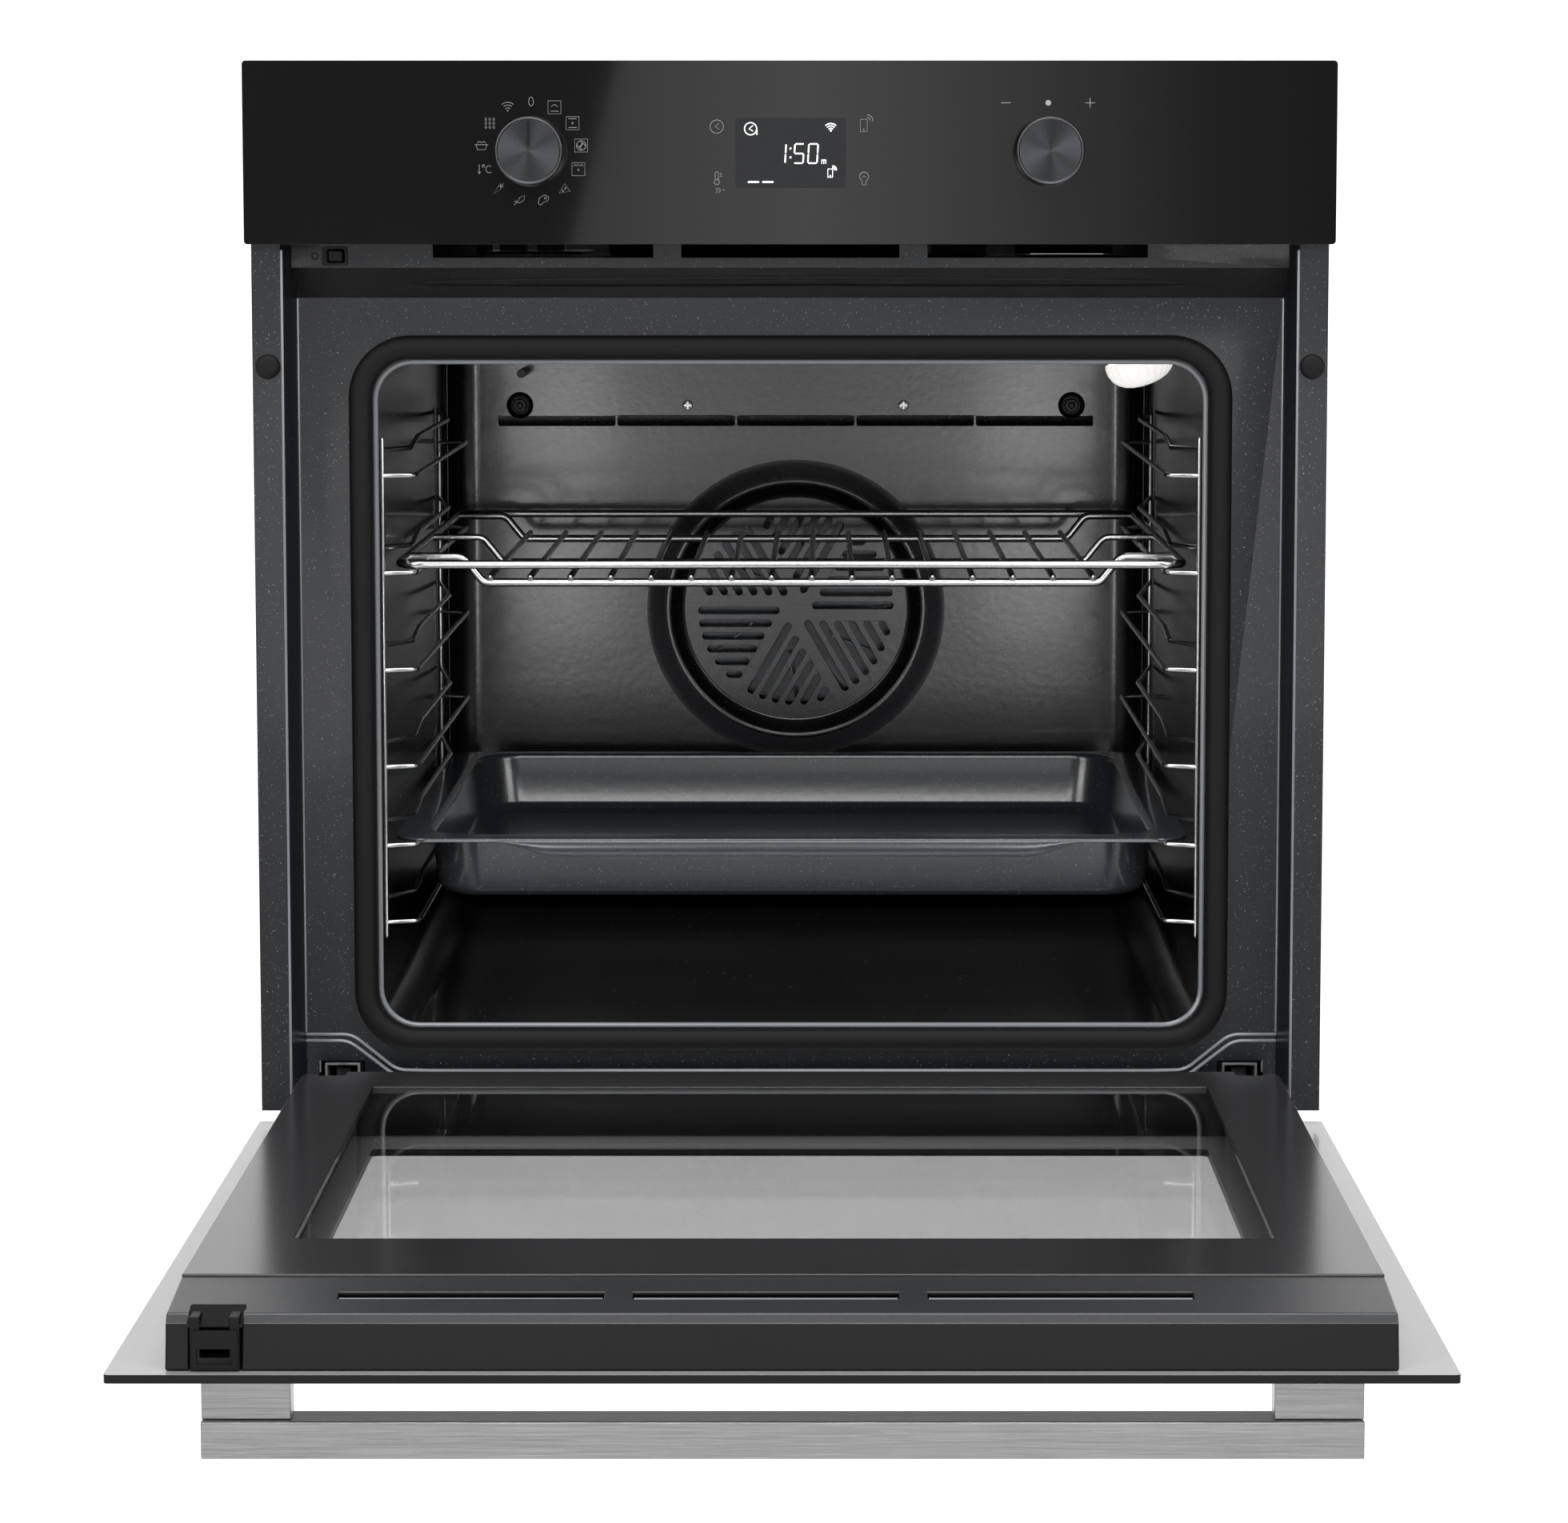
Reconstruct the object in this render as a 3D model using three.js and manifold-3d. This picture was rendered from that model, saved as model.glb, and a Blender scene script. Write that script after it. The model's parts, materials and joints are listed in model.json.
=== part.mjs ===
// Built-in electric oven with a fold-down glass door, wire shelf, baking tray and convection fan.
// Millimetres. +X right, +Y towards the back, +Z up; the origin is the middle of the casing's underside.
import * as THREE from 'three';
import { mergeVertices } from 'three/addons/utils/BufferGeometryUtils.js';
import Module from 'manifold-3d';

const wasm = await Module();
wasm.setup();

// ---- Driving dimensions -------------------------------------------------------------------------
const GAP = 0.3;                 // between pieces that touch
const RUN = 0.6;                 // around shafts and sliding pieces
const SHEET = 1.2;               // casing and enamelled sheet

const CASING_WIDTH = 556;
const CASING_DEPTH = 535;        // behind the cabinet's front face
const SEAT_DEPTH = 21;           // from the glass front to the cabinet's front face
const GLASS = 4;

const FLANGE_COVER = 16.8;       // the front frame stands out past each side of the casing
const PANEL_COVER = 2.7;         // the panel and door stand out past each side of the frame
const FLANGE_SETBACK = 8;        // flange behind the glass front
const FACE_SETBACK = 42;         // recessed main face behind the glass front
const RECESS_MARGIN = 1;         // flange's inner edge outside the casing
const RECESS_TAPER = 5;          // each recess wall leans in by this much
const FACE_RISE = 34.9;          // face above the mouth, up to where it breaks forward
const BROW_RISE = 16.8;          // the sloping part that leads to the air outlet
const OUTLET_RISE = 13.1;        // from there to the panel's lower edge
const OUTLET_SETBACK = 30;
const PANEL_HEIGHT = 99.5;
const PANEL_OVER = 15.1;         // panel's top edge above the casing
const DOOR_PANEL_GAP = 3.5;

const CAVITY_MARGIN = 46;        // cavity wall to the casing's outer side
const CAVITY_FLOOR = 40.8;
const CAVITY_HEIGHT = 383;
const MOUTH_DROP = 7;            // ceiling above the top of the mouth
const MOUTH_RADIUS = 22;
const BACK_RADIUS = 21;          // upright corners of the back baffle
const FAN_CHAMBER = 38;          // behind the back baffle
const REAR_SPACE = 39;           // behind the liner, for the fan motor
const COMPARTMENT_RISE = 46;     // ceiling to the floor under the electrics

const FAN_RISE = 194.2;          // fan axis above the cavity's floor
const COVER_RADIUS = 99.4;
const COVER_RIDGE = 86;
const COVER_PLATE = 73.5;
const SLOT_HEIGHT = 4.6;
const SLOT_PITCH = 8.6;
const FAN_RADIUS = 66;

const SEAL_WIDTH = 13;
const SEAL_RADIUS = 34;

const DOOR_DROP = 10;            // door's lower edge under the casing's underside, shut
const DOOR_BODY = 34.6;          // outer glass front to inner face
const DOOR_INSET = 7;            // door body inside the casing's width, each side
const PIVOT_SETBACK = 10;
const PIVOT_HEIGHT = -2.2;
const HINGE_INSET = 17;          // middle of a hinge from the door body's side
const WINDOW_INSET = 42.5;       // window's edge from the door body's side

const HANDLE_INSET = 38.5;       // handle's end from the door glass's side
const HANDLE_BAR = 17;
const HANDLE_POST = 40;
const HANDLE_STANDOFF = 24.6;
const HANDLE_DROP = 25;          // handle's upper edge under the door's top edge

const LATCH_TRAVEL = 3;

const KNOB_RADIUS = 19;
const KNOB_LENGTH = 19;
const KNOB_SPREAD = 140.6;
const KNOB_RISE = 50.4;          // knob axis above the panel's lower edge
const SHAFT_RADIUS = 3;

const RACK_WIRE = 3;
const RUNG_PITCH = 55;
const RACK_REACH = 20.6;         // inner wires from the cavity wall
const SHELF_RISE = 260.2;        // above the cavity's floor
const SHELF_WIRE = 5;
const SHELF_SIDE_GAP = 7.5;      // to the cavity wall
const SHELF_FRONT = 17;          // behind the mouth
const SHELF_BACK = 32;           // in front of the baffle
const TRAY_RISE = 104.2;         // rim above the cavity's floor
const TRAY_SIDE_GAP = 6;
const TRAY_DEEP = 38;
const TRAY_BACK = 52;
const TRAY_SHEET = 1.4;
const TRAY_RADIUS = 14;          // upright corners at the tray's floor

// ---- Places worked out from them ----------------------------------------------------------------
const front = -(SEAT_DEPTH + CASING_DEPTH / 2);          // glass front of the shut door and panel
const seat = front + SEAT_DEPTH;                         // cabinet's front face
const back = seat + CASING_DEPTH;
const face = front + FACE_SETBACK;
const mouth = face + 1;
const linerBack = back - REAR_SPACE;
const baffleY = linerBack - FAN_CHAMBER;
const ceiling = CAVITY_FLOOR + CAVITY_HEIGHT;
const mouthTop = ceiling - MOUTH_DROP;
const faceTop = mouthTop + FACE_RISE;
const outletBase = faceTop + BROW_RISE;
const panelBase = outletBase + OUTLET_RISE;
const panelTop = panelBase + PANEL_HEIGHT;
const casingTop = panelTop - PANEL_OVER;
const doorTop = panelBase - DOOR_PANEL_GAP;
const knobZ = panelBase + KNOB_RISE;
const fanZ = CAVITY_FLOOR + FAN_RISE;
const compartment = ceiling + COMPARTMENT_RISE;
const halfCasing = CASING_WIDTH / 2;
const halfFrame = halfCasing + FLANGE_COVER;
const halfPanel = halfFrame + PANEL_COVER;
const halfRecess = halfCasing + RECESS_MARGIN;
const halfCavity = halfCasing - CAVITY_MARGIN;
const bodyHalf = halfCasing - DOOR_INSET;
const hingeX = bodyHalf - HINGE_INSET;
const windowHalf = bodyHalf - WINDOW_INSET;
const shelfZ = CAVITY_FLOOR + SHELF_RISE;
const trayZ = CAVITY_FLOOR + TRAY_RISE;

// ---- Materials ----------------------------------------------------------------------------------
const paint = (color, roughness, metalness) =>
  new THREE.MeshStandardMaterial({ color, roughness, metalness });
const enamel = paint(0x3a3c40, 0.25, 0.2);
const blackGlass = paint(0x1c1c1e, 0.08, 0.1);
const clearGlass = paint(0x9aa2a6, 0.05, 0.0);
const zinc = paint(0xb4b6b8, 0.4, 0.9);
const steel = paint(0xb8b8b8, 0.3, 1.0);
const chrome = paint(0xd8d8da, 0.15, 1.0);
const rubber = paint(0x161617, 0.8, 0.0);
const darkMetal = paint(0x3c3c3e, 0.35, 0.9);
const blackPlastic = paint(0x202022, 0.5, 0.0);
const greyPlastic = paint(0x8c8f92, 0.6, 0.0);
const board = paint(0x1f5a3a, 0.6, 0.1);
const wool = paint(0xd9d4c2, 0.95, 0.0);
const aluminium = paint(0xc4c7ca, 0.35, 0.9);
const lampWhite = paint(0xf4f0ea, 0.2, 0.0);

// ---- Making shapes ------------------------------------------------------------------------------
const object = new THREE.Group();

// A closed geometry as a solid that can be joined and cut.
function solid(geometry) {
  const plain = geometry.index ? geometry.toNonIndexed() : geometry.clone();
  plain.deleteAttribute('normal');
  plain.deleteAttribute('uv');
  const merged = mergeVertices(plain, 1e-4);
  return new wasm.Manifold(new wasm.Mesh({
    numProp: 3,
    vertProperties: new Float32Array(merged.attributes.position.array),
    triVerts: new Uint32Array(merged.index.array),
  }));
}

function geometryOf(body) {
  const mesh = body.getMesh();
  const geometry = new THREE.BufferGeometry();
  geometry.setAttribute('position', new THREE.BufferAttribute(new Float32Array(mesh.vertProperties), 3));
  geometry.setIndex(new THREE.BufferAttribute(new Uint32Array(mesh.triVerts), 1));
  geometry.computeVertexNormals();
  return geometry;
}

function piece(name, body, material, parent = object) {
  const mesh = new THREE.Mesh(geometryOf(body), material);
  mesh.name = name;
  parent.add(mesh);
  return mesh;
}

const join = (bodies) => bodies.reduce((sum, next) => sum.add(next));
const cut = (body, tools) => tools.reduce((rest, tool) => rest.subtract(tool), body);

function box([x0, y0, z0], [x1, y1, z1]) {
  const shape = new THREE.BoxGeometry(x1 - x0, y1 - y0, z1 - z0);
  shape.translate((x0 + x1) / 2, (y0 + y1) / 2, (z0 + z1) / 2);
  return solid(shape);
}

function outline(points) {
  return new THREE.Shape(points.map(([a, b]) => new THREE.Vector2(a, b)));
}

function roundRect(x0, z0, x1, z1, radius) {
  const shape = new THREE.Shape();
  shape.moveTo(x0 + radius, z0);
  shape.lineTo(x1 - radius, z0);
  shape.absarc(x1 - radius, z0 + radius, radius, -Math.PI / 2, 0, false);
  shape.lineTo(x1, z1 - radius);
  shape.absarc(x1 - radius, z1 - radius, radius, 0, Math.PI / 2, false);
  shape.lineTo(x0 + radius, z1);
  shape.absarc(x0 + radius, z1 - radius, radius, Math.PI / 2, Math.PI, false);
  shape.lineTo(x0, z0 + radius);
  shape.absarc(x0 + radius, z0 + radius, radius, Math.PI, Math.PI * 1.5, false);
  return shape;
}

// The points of a rectangle with round corners, counterclockwise from the lower right.
function roundCorners(x0, y0, x1, y1, radius, chords) {
  const centres = [[x1 - radius, y0 + radius], [x1 - radius, y1 - radius],
    [x0 + radius, y1 - radius], [x0 + radius, y0 + radius]];
  const points = [];
  centres.forEach(([cx, cy], corner) => {
    for (let i = 0; i <= chords; i += 1) {
      const angle = (corner - 1 + i / chords) * (Math.PI / 2);
      points.push(new THREE.Vector2(cx + radius * Math.cos(angle), cy + radius * Math.sin(angle)));
    }
  });
  return points;
}

// An outline in X and Z, thick along Y.
function alongY(shape, y0, y1, curveSegments = 5) {
  const made = new THREE.ExtrudeGeometry(shape, { depth: y1 - y0, bevelEnabled: false, curveSegments });
  made.rotateX(Math.PI / 2);
  made.translate(0, y1, 0);
  return solid(made);
}

// An outline in Y and Z, long along X.
function alongX(shape, x0, x1, curveSegments = 5) {
  const made = new THREE.ExtrudeGeometry(shape, { depth: x1 - x0, bevelEnabled: false, curveSegments });
  made.applyMatrix4(new THREE.Matrix4().makeBasis(
    new THREE.Vector3(0, 1, 0), new THREE.Vector3(0, 0, 1), new THREE.Vector3(1, 0, 0)));
  made.translate(x0, 0, 0);
  return solid(made);
}

// An outline in X and Y, tall along Z.
function alongZ(shape, z0, z1, curveSegments = 5) {
  const made = new THREE.ExtrudeGeometry(shape, { depth: z1 - z0, bevelEnabled: false, curveSegments });
  made.translate(0, 0, z0);
  return solid(made);
}

// A turned piece: the profile gives radius and distance along the axis.
function turned(profile, sides, direction, [x, y, z]) {
  const shape = new THREE.LatheGeometry(profile.map(([r, a]) => new THREE.Vector2(r, a)), sides);
  const turn = new THREE.Quaternion().setFromUnitVectors(
    new THREE.Vector3(0, 1, 0), new THREE.Vector3(...direction).normalize());
  shape.applyQuaternion(turn);
  shape.translate(x, y, z);
  return solid(shape);
}

function rod(radius, length, sides, direction, at) {
  return turned([[0, 0], [radius, 0], [radius, length], [0, length]], sides, direction, at);
}

// A wire's centre line, one step to each of its points.
class WirePath extends THREE.Curve {
  constructor(points) {
    super();
    this.points = points.map((p) => new THREE.Vector3(...p));
  }
  getPoint(t, target = new THREE.Vector3()) {
    const place = Math.min(t * (this.points.length - 1), this.points.length - 1 - 1e-9);
    const step = Math.floor(place);
    return target.lerpVectors(this.points[step], this.points[step + 1], place - step);
  }
  getPointAt(t, target) {
    return this.getPoint(t, target);
  }
  getTangent(t, target = new THREE.Vector3()) {
    const last = this.points.length - 1;
    const at = Math.round(t * last);
    const before = this.points[Math.max(at - 1, 0)];
    const after = this.points[Math.min(at + 1, last)];
    return target.subVectors(after, before).normalize();
  }
  getTangentAt(t, target) {
    return this.getTangent(t, target);
  }
}

function ring(radius, sides) {
  const shape = new THREE.Shape();
  for (let i = 0; i < sides; i += 1) {
    const angle = (2 * Math.PI * (i + 0.5)) / sides;
    const spot = [radius * Math.cos(angle), radius * Math.sin(angle)];
    if (i === 0) {
      shape.moveTo(...spot);
    } else {
      shape.lineTo(...spot);
    }
  }
  return shape;
}

function wire(points, diameter, sides = 5) {
  return solid(new THREE.ExtrudeGeometry(ring(diameter / 2, sides), {
    steps: points.length - 1, extrudePath: new WirePath(points), curveSegments: 1,
  }));
}

// Corners of a wire's route rounded with short chords.
function bent(points, radius, chords = 3) {
  const route = [points[0]];
  for (let i = 1; i < points.length - 1; i += 1) {
    const corner = new THREE.Vector3(...points[i]);
    const before = new THREE.Vector3(...points[i - 1]).sub(corner);
    const after = new THREE.Vector3(...points[i + 1]).sub(corner);
    const reach = Math.min(radius, before.length() * 0.45, after.length() * 0.45);
    const a = corner.clone().addScaledVector(before.normalize(), reach);
    const b = corner.clone().addScaledVector(after.normalize(), reach);
    const curve = new THREE.QuadraticBezierCurve3(a, corner, b);
    for (let k = 0; k <= chords; k += 1) {
      route.push(curve.getPoint(k / chords).toArray());
    }
  }
  route.push(points[points.length - 1]);
  return route;
}

// ---- Casing -------------------------------------------------------------------------------------
const caseInner = halfCasing - SHEET - GAP;
const caseStart = face - 5;
const footDepth = 14;            // the frame's lower return

function basePlate() {
  const y0 = face + footDepth + GAP;
  const deck = box([-caseInner, y0, 0], [caseInner, back - SHEET - GAP, SHEET]);
  const lips = [-1, 1].map((s) => box(
    [Math.min(s * caseInner, s * (caseInner - SHEET)), y0, 0],
    [Math.max(s * caseInner, s * (caseInner - SHEET)), back - SHEET - GAP, 12]));
  const slots = [];
  for (const x of [-150, -50, 50, 150]) {
    for (const y of [-120, 120]) {
      slots.push(box([x - 30, y - 3, -1], [x + 30, y + 3, SHEET + 1]));
    }
  }
  piece('base_plate', cut(join([deck, ...lips]), slots), zinc);
}

function sidePanel(name, side) {
  const span = (a, b) => [Math.min(side * a, side * b), Math.max(side * a, side * b)];
  const [x0, x1] = span(halfCasing - SHEET, halfCasing);
  const [f0, f1] = span(halfCasing - 12, halfCasing);
  const foldY = face + SHEET + GAP;
  const wall = box([x0, caseStart, 0], [x1, back - SHEET - GAP, casingTop - SHEET - GAP]);
  const fold = box([f0, foldY, 14], [f1, foldY + SHEET, casingTop - 60]);
  const louvres = [];
  for (let i = 0; i < 5; i += 1) {
    const z = casingTop - 36 - 9 * i;
    louvres.push(box([x0 - 1, back - 190, z], [x1 + 1, back - 90, z + 3]));
  }
  piece(name, cut(wall.add(fold), louvres), zinc);
}

const terminalX = 185;
const terminalZ = compartment + 16.2;

function rearCover() {
  const sheet = box([-halfCasing, back - SHEET, 0], [halfCasing, back, casingTop - SHEET - GAP]);
  const slots = [];
  for (let i = 0; i < 6; i += 1) {
    const x = -halfCasing + 60 + i * 64;
    slots.push(box([x, back - SHEET - 1, ceiling + 70], [x + 44, back + 1, ceiling + 76]));
    slots.push(box([x, back - SHEET - 1, ceiling + 86], [x + 44, back + 1, ceiling + 92]));
  }
  const dome = turned([[0, -SHEET], [44, -SHEET], [36, 5], [0, 5]], 20, [0, 1, 0], [0, back, fanZ]);
  const hollow = turned([[0, -2 * SHEET], [42, -2 * SHEET], [34.5, 5 - SHEET], [0, 5 - SHEET]], 20,
    [0, 1, 0], [0, back, fanZ]);
  const inlet = box(
    [terminalX - 25, back - SHEET - 1, terminalZ - 16], [terminalX + 25, back + 1, terminalZ + 14]);
  piece('rear_cover', cut(sheet.add(dome), [...slots, hollow, inlet]), zinc);
}

function topCover() {
  const z = casingTop - SHEET;
  const sheet = box([-halfCasing, seat + GAP, z], [halfCasing, back, casingTop]);
  const lip = box([-halfCasing + 20, seat + GAP, z - 16], [halfCasing - 20, seat + GAP + SHEET, z + 0.1]);
  const slots = [];
  for (let i = 0; i < 7; i += 1) {
    const x = -190 + i * 56;
    slots.push(box([x, back - 60, z - 1], [x + 40, back - 55, casingTop + 1]));
  }
  piece('top_cover', cut(sheet.add(lip), slots), zinc);
}

// ---- Front frame --------------------------------------------------------------------------------
const frameTop = panelBase + 8;
const hingeSlot = 26;
const latchX = -(halfRecess - 28);
const latchZ = panelBase - 6.6;
const outletHalf = halfRecess - 81.5;
const outletPost = 15.5;         // width of each bar that divides the air outlet
const bumperX = halfFrame - 8.5;
const bumperZ = mouthTop - 2.1;

function frameSide(side) {
  const flange = front + FLANGE_SETBACK;
  const profile = [
    [halfFrame, seat], [halfFrame, flange], [halfRecess, flange], [halfRecess - RECESS_TAPER, face],
    [halfRecess - RECESS_TAPER - 20, face], [halfRecess - RECESS_TAPER - 20, face + SHEET],
    [halfRecess - RECESS_TAPER + SHEET, face + SHEET], [halfRecess + SHEET, flange + SHEET],
    [halfFrame - SHEET, flange + SHEET], [halfFrame - SHEET, seat],
  ].map(([x, y]) => [side * x, y]);
  return alongZ(outline(side > 0 ? profile.reverse() : profile), 0, frameTop);
}

function frontFrame() {
  const half = halfRecess - RECESS_TAPER;
  const main = box([-half, face, 0], [half, face + SHEET, faceTop + 0.5]);
  const rise = [
    [face, faceTop], [front + OUTLET_SETBACK, outletBase], [front + OUTLET_SETBACK, frameTop],
    [front + OUTLET_SETBACK + SHEET, frameTop], [front + OUTLET_SETBACK + SHEET, outletBase + 0.5],
    [face + SHEET, faceTop + 0.5],
  ];
  const brow = alongX(outline(rise.reverse()), -half - 2, half + 2);
  const foot = box([-half, face, 0], [half, face + footDepth, SHEET]);
  const hole = alongY(
    roundRect(-halfCavity, CAVITY_FLOOR, halfCavity, mouthTop, MOUTH_RADIUS), face - 1, face + 3, 6);
  const middle = outletHalf * 0.305;
  const outlets = [
    [-outletHalf, -middle - outletPost], [-middle, middle], [middle + outletPost, outletHalf],
  ].map(([x0, x1]) => box([x0, front + OUTLET_SETBACK - 2, outletBase + 5.5],
    [x1, front + OUTLET_SETBACK + 4, panelBase + 2]));
  const latch = box([latchX - 5, front + OUTLET_SETBACK - 2, latchZ - 4], [latchX + 5, face, latchZ + 4]);
  const hinges = [-1, 1].map((s) => box(
    [s * hingeX - hingeSlot / 2, face - 2, -1], [s * hingeX + hingeSlot / 2, face + 16, 21]));
  const studs = [-1, 1].map((s) => rod(3, 20, 10, [0, 1, 0], [s * bumperX, front, bumperZ]));
  const shell = join([main, brow, foot, frameSide(-1), frameSide(1)]);
  piece('front_frame', cut(shell, [hole, ...outlets, latch, ...hinges, ...studs]), enamel);
}

function bumpers() {
  [['left', -1], ['right', 1]].forEach(([name, s]) => {
    const y = front + FLANGE_SETBACK - GAP;
    const cap = turned([[0, -3.4], [5.6, -3.4], [6.8, -2.2], [6.8, 0], [2.4, 0], [2.4, 5], [0, 5]],
      16, [0, 1, 0], [s * bumperX, y, bumperZ]);
    piece(`frame_bumper_${name}`, cap, rubber);
  });
}

// ---- Cavity -------------------------------------------------------------------------------------
const heaterX = 40;              // the terminals of a heater from the centre
const lampX = halfCavity - 27;
const lampY = mouth + 108;
const ringDrop = FAN_RADIUS + 22;
const grillZ = ceiling - 4.5;
const probeX = -(halfCavity - 52);
const probeZ = ceiling - 30;

function cavityLiner() {
  const outerShape = roundRect(-halfCavity - SHEET, CAVITY_FLOOR - SHEET, halfCavity + SHEET,
    ceiling + SHEET, MOUTH_RADIUS + SHEET);
  const innerShape = roundRect(-halfCavity, CAVITY_FLOOR, halfCavity, ceiling, MOUTH_RADIUS);
  const start = face + SHEET + GAP;
  const outer = alongY(outerShape, start, linerBack + SHEET, 4);
  const inner = alongY(innerShape, start - 1, linerBack, 4);
  const rimInner = alongY(
    roundRect(-halfCavity, CAVITY_FLOOR, halfCavity, mouthTop, MOUTH_RADIUS), start - 1, start + 3, 4);
  const rim = alongY(outerShape, start, start + SHEET, 4).subtract(rimInner);
  const holes = [
    rod(9, 10, 14, [0, 1, 0], [0, linerBack - 4, fanZ]),
    rod(15, 20, 14, [0, 0, 1], [lampX - 20, lampY, ceiling - 8]),
    rod(12, 20, 14, [0, 0, 1], [-60, 60, ceiling - 8]),
    rod(5, 10, 10, [0, 1, 0], [probeX, linerBack - 4, probeZ]),
  ];
  for (const s of [-1, 1]) {
    holes.push(rod(5, 10, 10, [0, 1, 0], [s * heaterX, linerBack - 4, grillZ]));
    holes.push(rod(5, 10, 10, [0, 1, 0], [s * heaterX, linerBack - 4, fanZ - ringDrop]));
  }
  piece('cavity_liner', cut(outer.subtract(inner).add(rim), holes), enamel);
}

const baffleTop = ceiling - MOUTH_RADIUS;
const screwZ = baffleTop - 30.8;
const screwX = 72;

// Bars of slots in six groups round the fan axis, each group turned by sixty degrees.
function coverSlots() {
  const bars = [[-65.3, -11.1], [-64.7, -16.3], [-62.6, -21.3], [-59.2, -26.2], [-54, -31.3], [-46.5, -36.2]];
  const tools = [];
  for (let group = 0; group < 6; group += 1) {
    bars.forEach(([x0, x1], row) => {
      const z = -1.7 - row * SLOT_PITCH;
      const slot = new THREE.ExtrudeGeometry(
        roundRect(x0, z - SLOT_HEIGHT / 2, x1, z + SLOT_HEIGHT / 2, SLOT_HEIGHT / 2 - 0.01),
        { depth: 20, bevelEnabled: false, curveSegments: 1 });
      slot.rotateZ((group * Math.PI) / 3);
      slot.rotateX(Math.PI / 2);
      slot.translate(0, baffleY + 16, fanZ);
      tools.push(solid(slot));
    });
  }
  return tools;
}

function backBaffle() {
  const half = halfCavity - RUN;
  const low = CAVITY_FLOOR + MOUTH_RADIUS - 1.4;
  const bow = new THREE.Shape();
  bow.moveTo(-half, baffleY - BACK_RADIUS);
  bow.lineTo(-half + SHEET, baffleY - BACK_RADIUS);
  bow.absarc(-half + BACK_RADIUS, baffleY - BACK_RADIUS, BACK_RADIUS - SHEET, Math.PI, Math.PI / 2, true);
  bow.lineTo(half - BACK_RADIUS, baffleY - SHEET);
  bow.absarc(half - BACK_RADIUS, baffleY - BACK_RADIUS, BACK_RADIUS - SHEET, Math.PI / 2, 0, true);
  bow.lineTo(half, baffleY - BACK_RADIUS);
  bow.absarc(half - BACK_RADIUS, baffleY - BACK_RADIUS, BACK_RADIUS, 0, Math.PI / 2, false);
  bow.lineTo(-half + BACK_RADIUS, baffleY);
  bow.absarc(-half + BACK_RADIUS, baffleY - BACK_RADIUS, BACK_RADIUS, Math.PI / 2, Math.PI, false);
  const plate = alongZ(bow, low, baffleTop, 4);
  const window = rod(COVER_RADIUS - 3, 20, 28, [0, 1, 0], [0, baffleY - 10, fanZ]);
  const bead = turned([
    [COVER_RADIUS, SHEET], [COVER_RIDGE, -5], [COVER_RIDGE - 4, -5], [COVER_PLATE + 1, 2], [0, 2],
    [0, 2 - SHEET], [COVER_PLATE, 2 - SHEET],
    [COVER_RIDGE - 4.6, -5 - SHEET], [COVER_RIDGE + 0.6, -5 - SHEET],
    [COVER_RADIUS, 0], [COVER_RADIUS, SHEET]], 28, [0, 1, 0], [0, baffleY - SHEET, fanZ]);
  const tools = coverSlots();
  const span = (half - BACK_RADIUS - 11) / 2.5;
  for (let i = -2; i <= 2; i += 1) {
    tools.push(box([i * span - span / 2 + 1, baffleY - 4, screwZ - 13.4],
      [i * span + span / 2 - 1, baffleY + 4, screwZ - 7]));
  }
  for (const s of [-1, 1]) {
    tools.push(rod(2.5, 10, 10, [0, 1, 0], [s * screwX, baffleY - 5, screwZ]));
  }
  for (const [x, z] of [[-heaterX, grillZ], [heaterX, grillZ], [probeX, probeZ]]) {
    tools.push(rod(5.5, 10, 10, [0, 1, 0], [x, baffleY - 5, z]));
  }
  piece('back_baffle', cut(plate.subtract(window).add(bead), tools), enamel);
}

function baffleFixings() {
  [['left', -screwX], ['right', screwX]].forEach(([name, x]) => {
    const head = turned([[0, -2], [3.5, -2], [3.5, 0], [2, 0], [2, 8], [0, 8]], 10,
      [0, 1, 0], [x, baffleY - SHEET - GAP, screwZ]);
    const drive = (w, h) => box(
      [x - w, baffleY - SHEET - 4, screwZ - h], [x + w, baffleY - SHEET - 1.3, screwZ + h]);
    const slotA = drive(2.4, 0.4);
    const slotB = drive(0.4, 2.4);
    piece(`baffle_screw_${name}`, cut(head, [slotA, slotB]), chrome);
  });
}

function doorSeal() {
  const x = halfCavity + 1 + SEAL_WIDTH;
  const outer = alongY(
    roundRect(-x, CAVITY_FLOOR - 1 - SEAL_WIDTH, x, mouthTop + 1 + SEAL_WIDTH, SEAL_RADIUS),
    front + DOOR_BODY + GAP, face - GAP, 5);
  const inner = alongY(
    roundRect(-halfCavity - 1, CAVITY_FLOOR - 1, halfCavity + 1, mouthTop + 1, MOUTH_RADIUS),
    face - 20, face + 5, 5);
  piece('door_seal', outer.subtract(inner), rubber);
}

function lamp() {
  const tilt = [0.35, 0, -1];
  const glass = turned([[0, 0], [19, 0], [20, 6], [16, 13], [9, 17], [0, 18]], 12, tilt,
    [lampX - 3, lampY, ceiling - 8]);
  const room = alongY(roundRect(-halfCavity + GAP, CAVITY_FLOOR, halfCavity - GAP, ceiling - GAP,
    MOUTH_RADIUS), lampY - 60, lampY + 60, 4);
  piece('lamp_glass', glass.intersect(room), lampWhite);
  const z = ceiling + SHEET + GAP;
  const holder = join([
    rod(20, 10, 16, [0, 0, 1], [lampX - 20, lampY, z]),
    rod(12, 26, 12, [0, 0, 1], [lampX - 20, lampY, z])]);
  piece('lamp_holder', holder, zinc);
}

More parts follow.
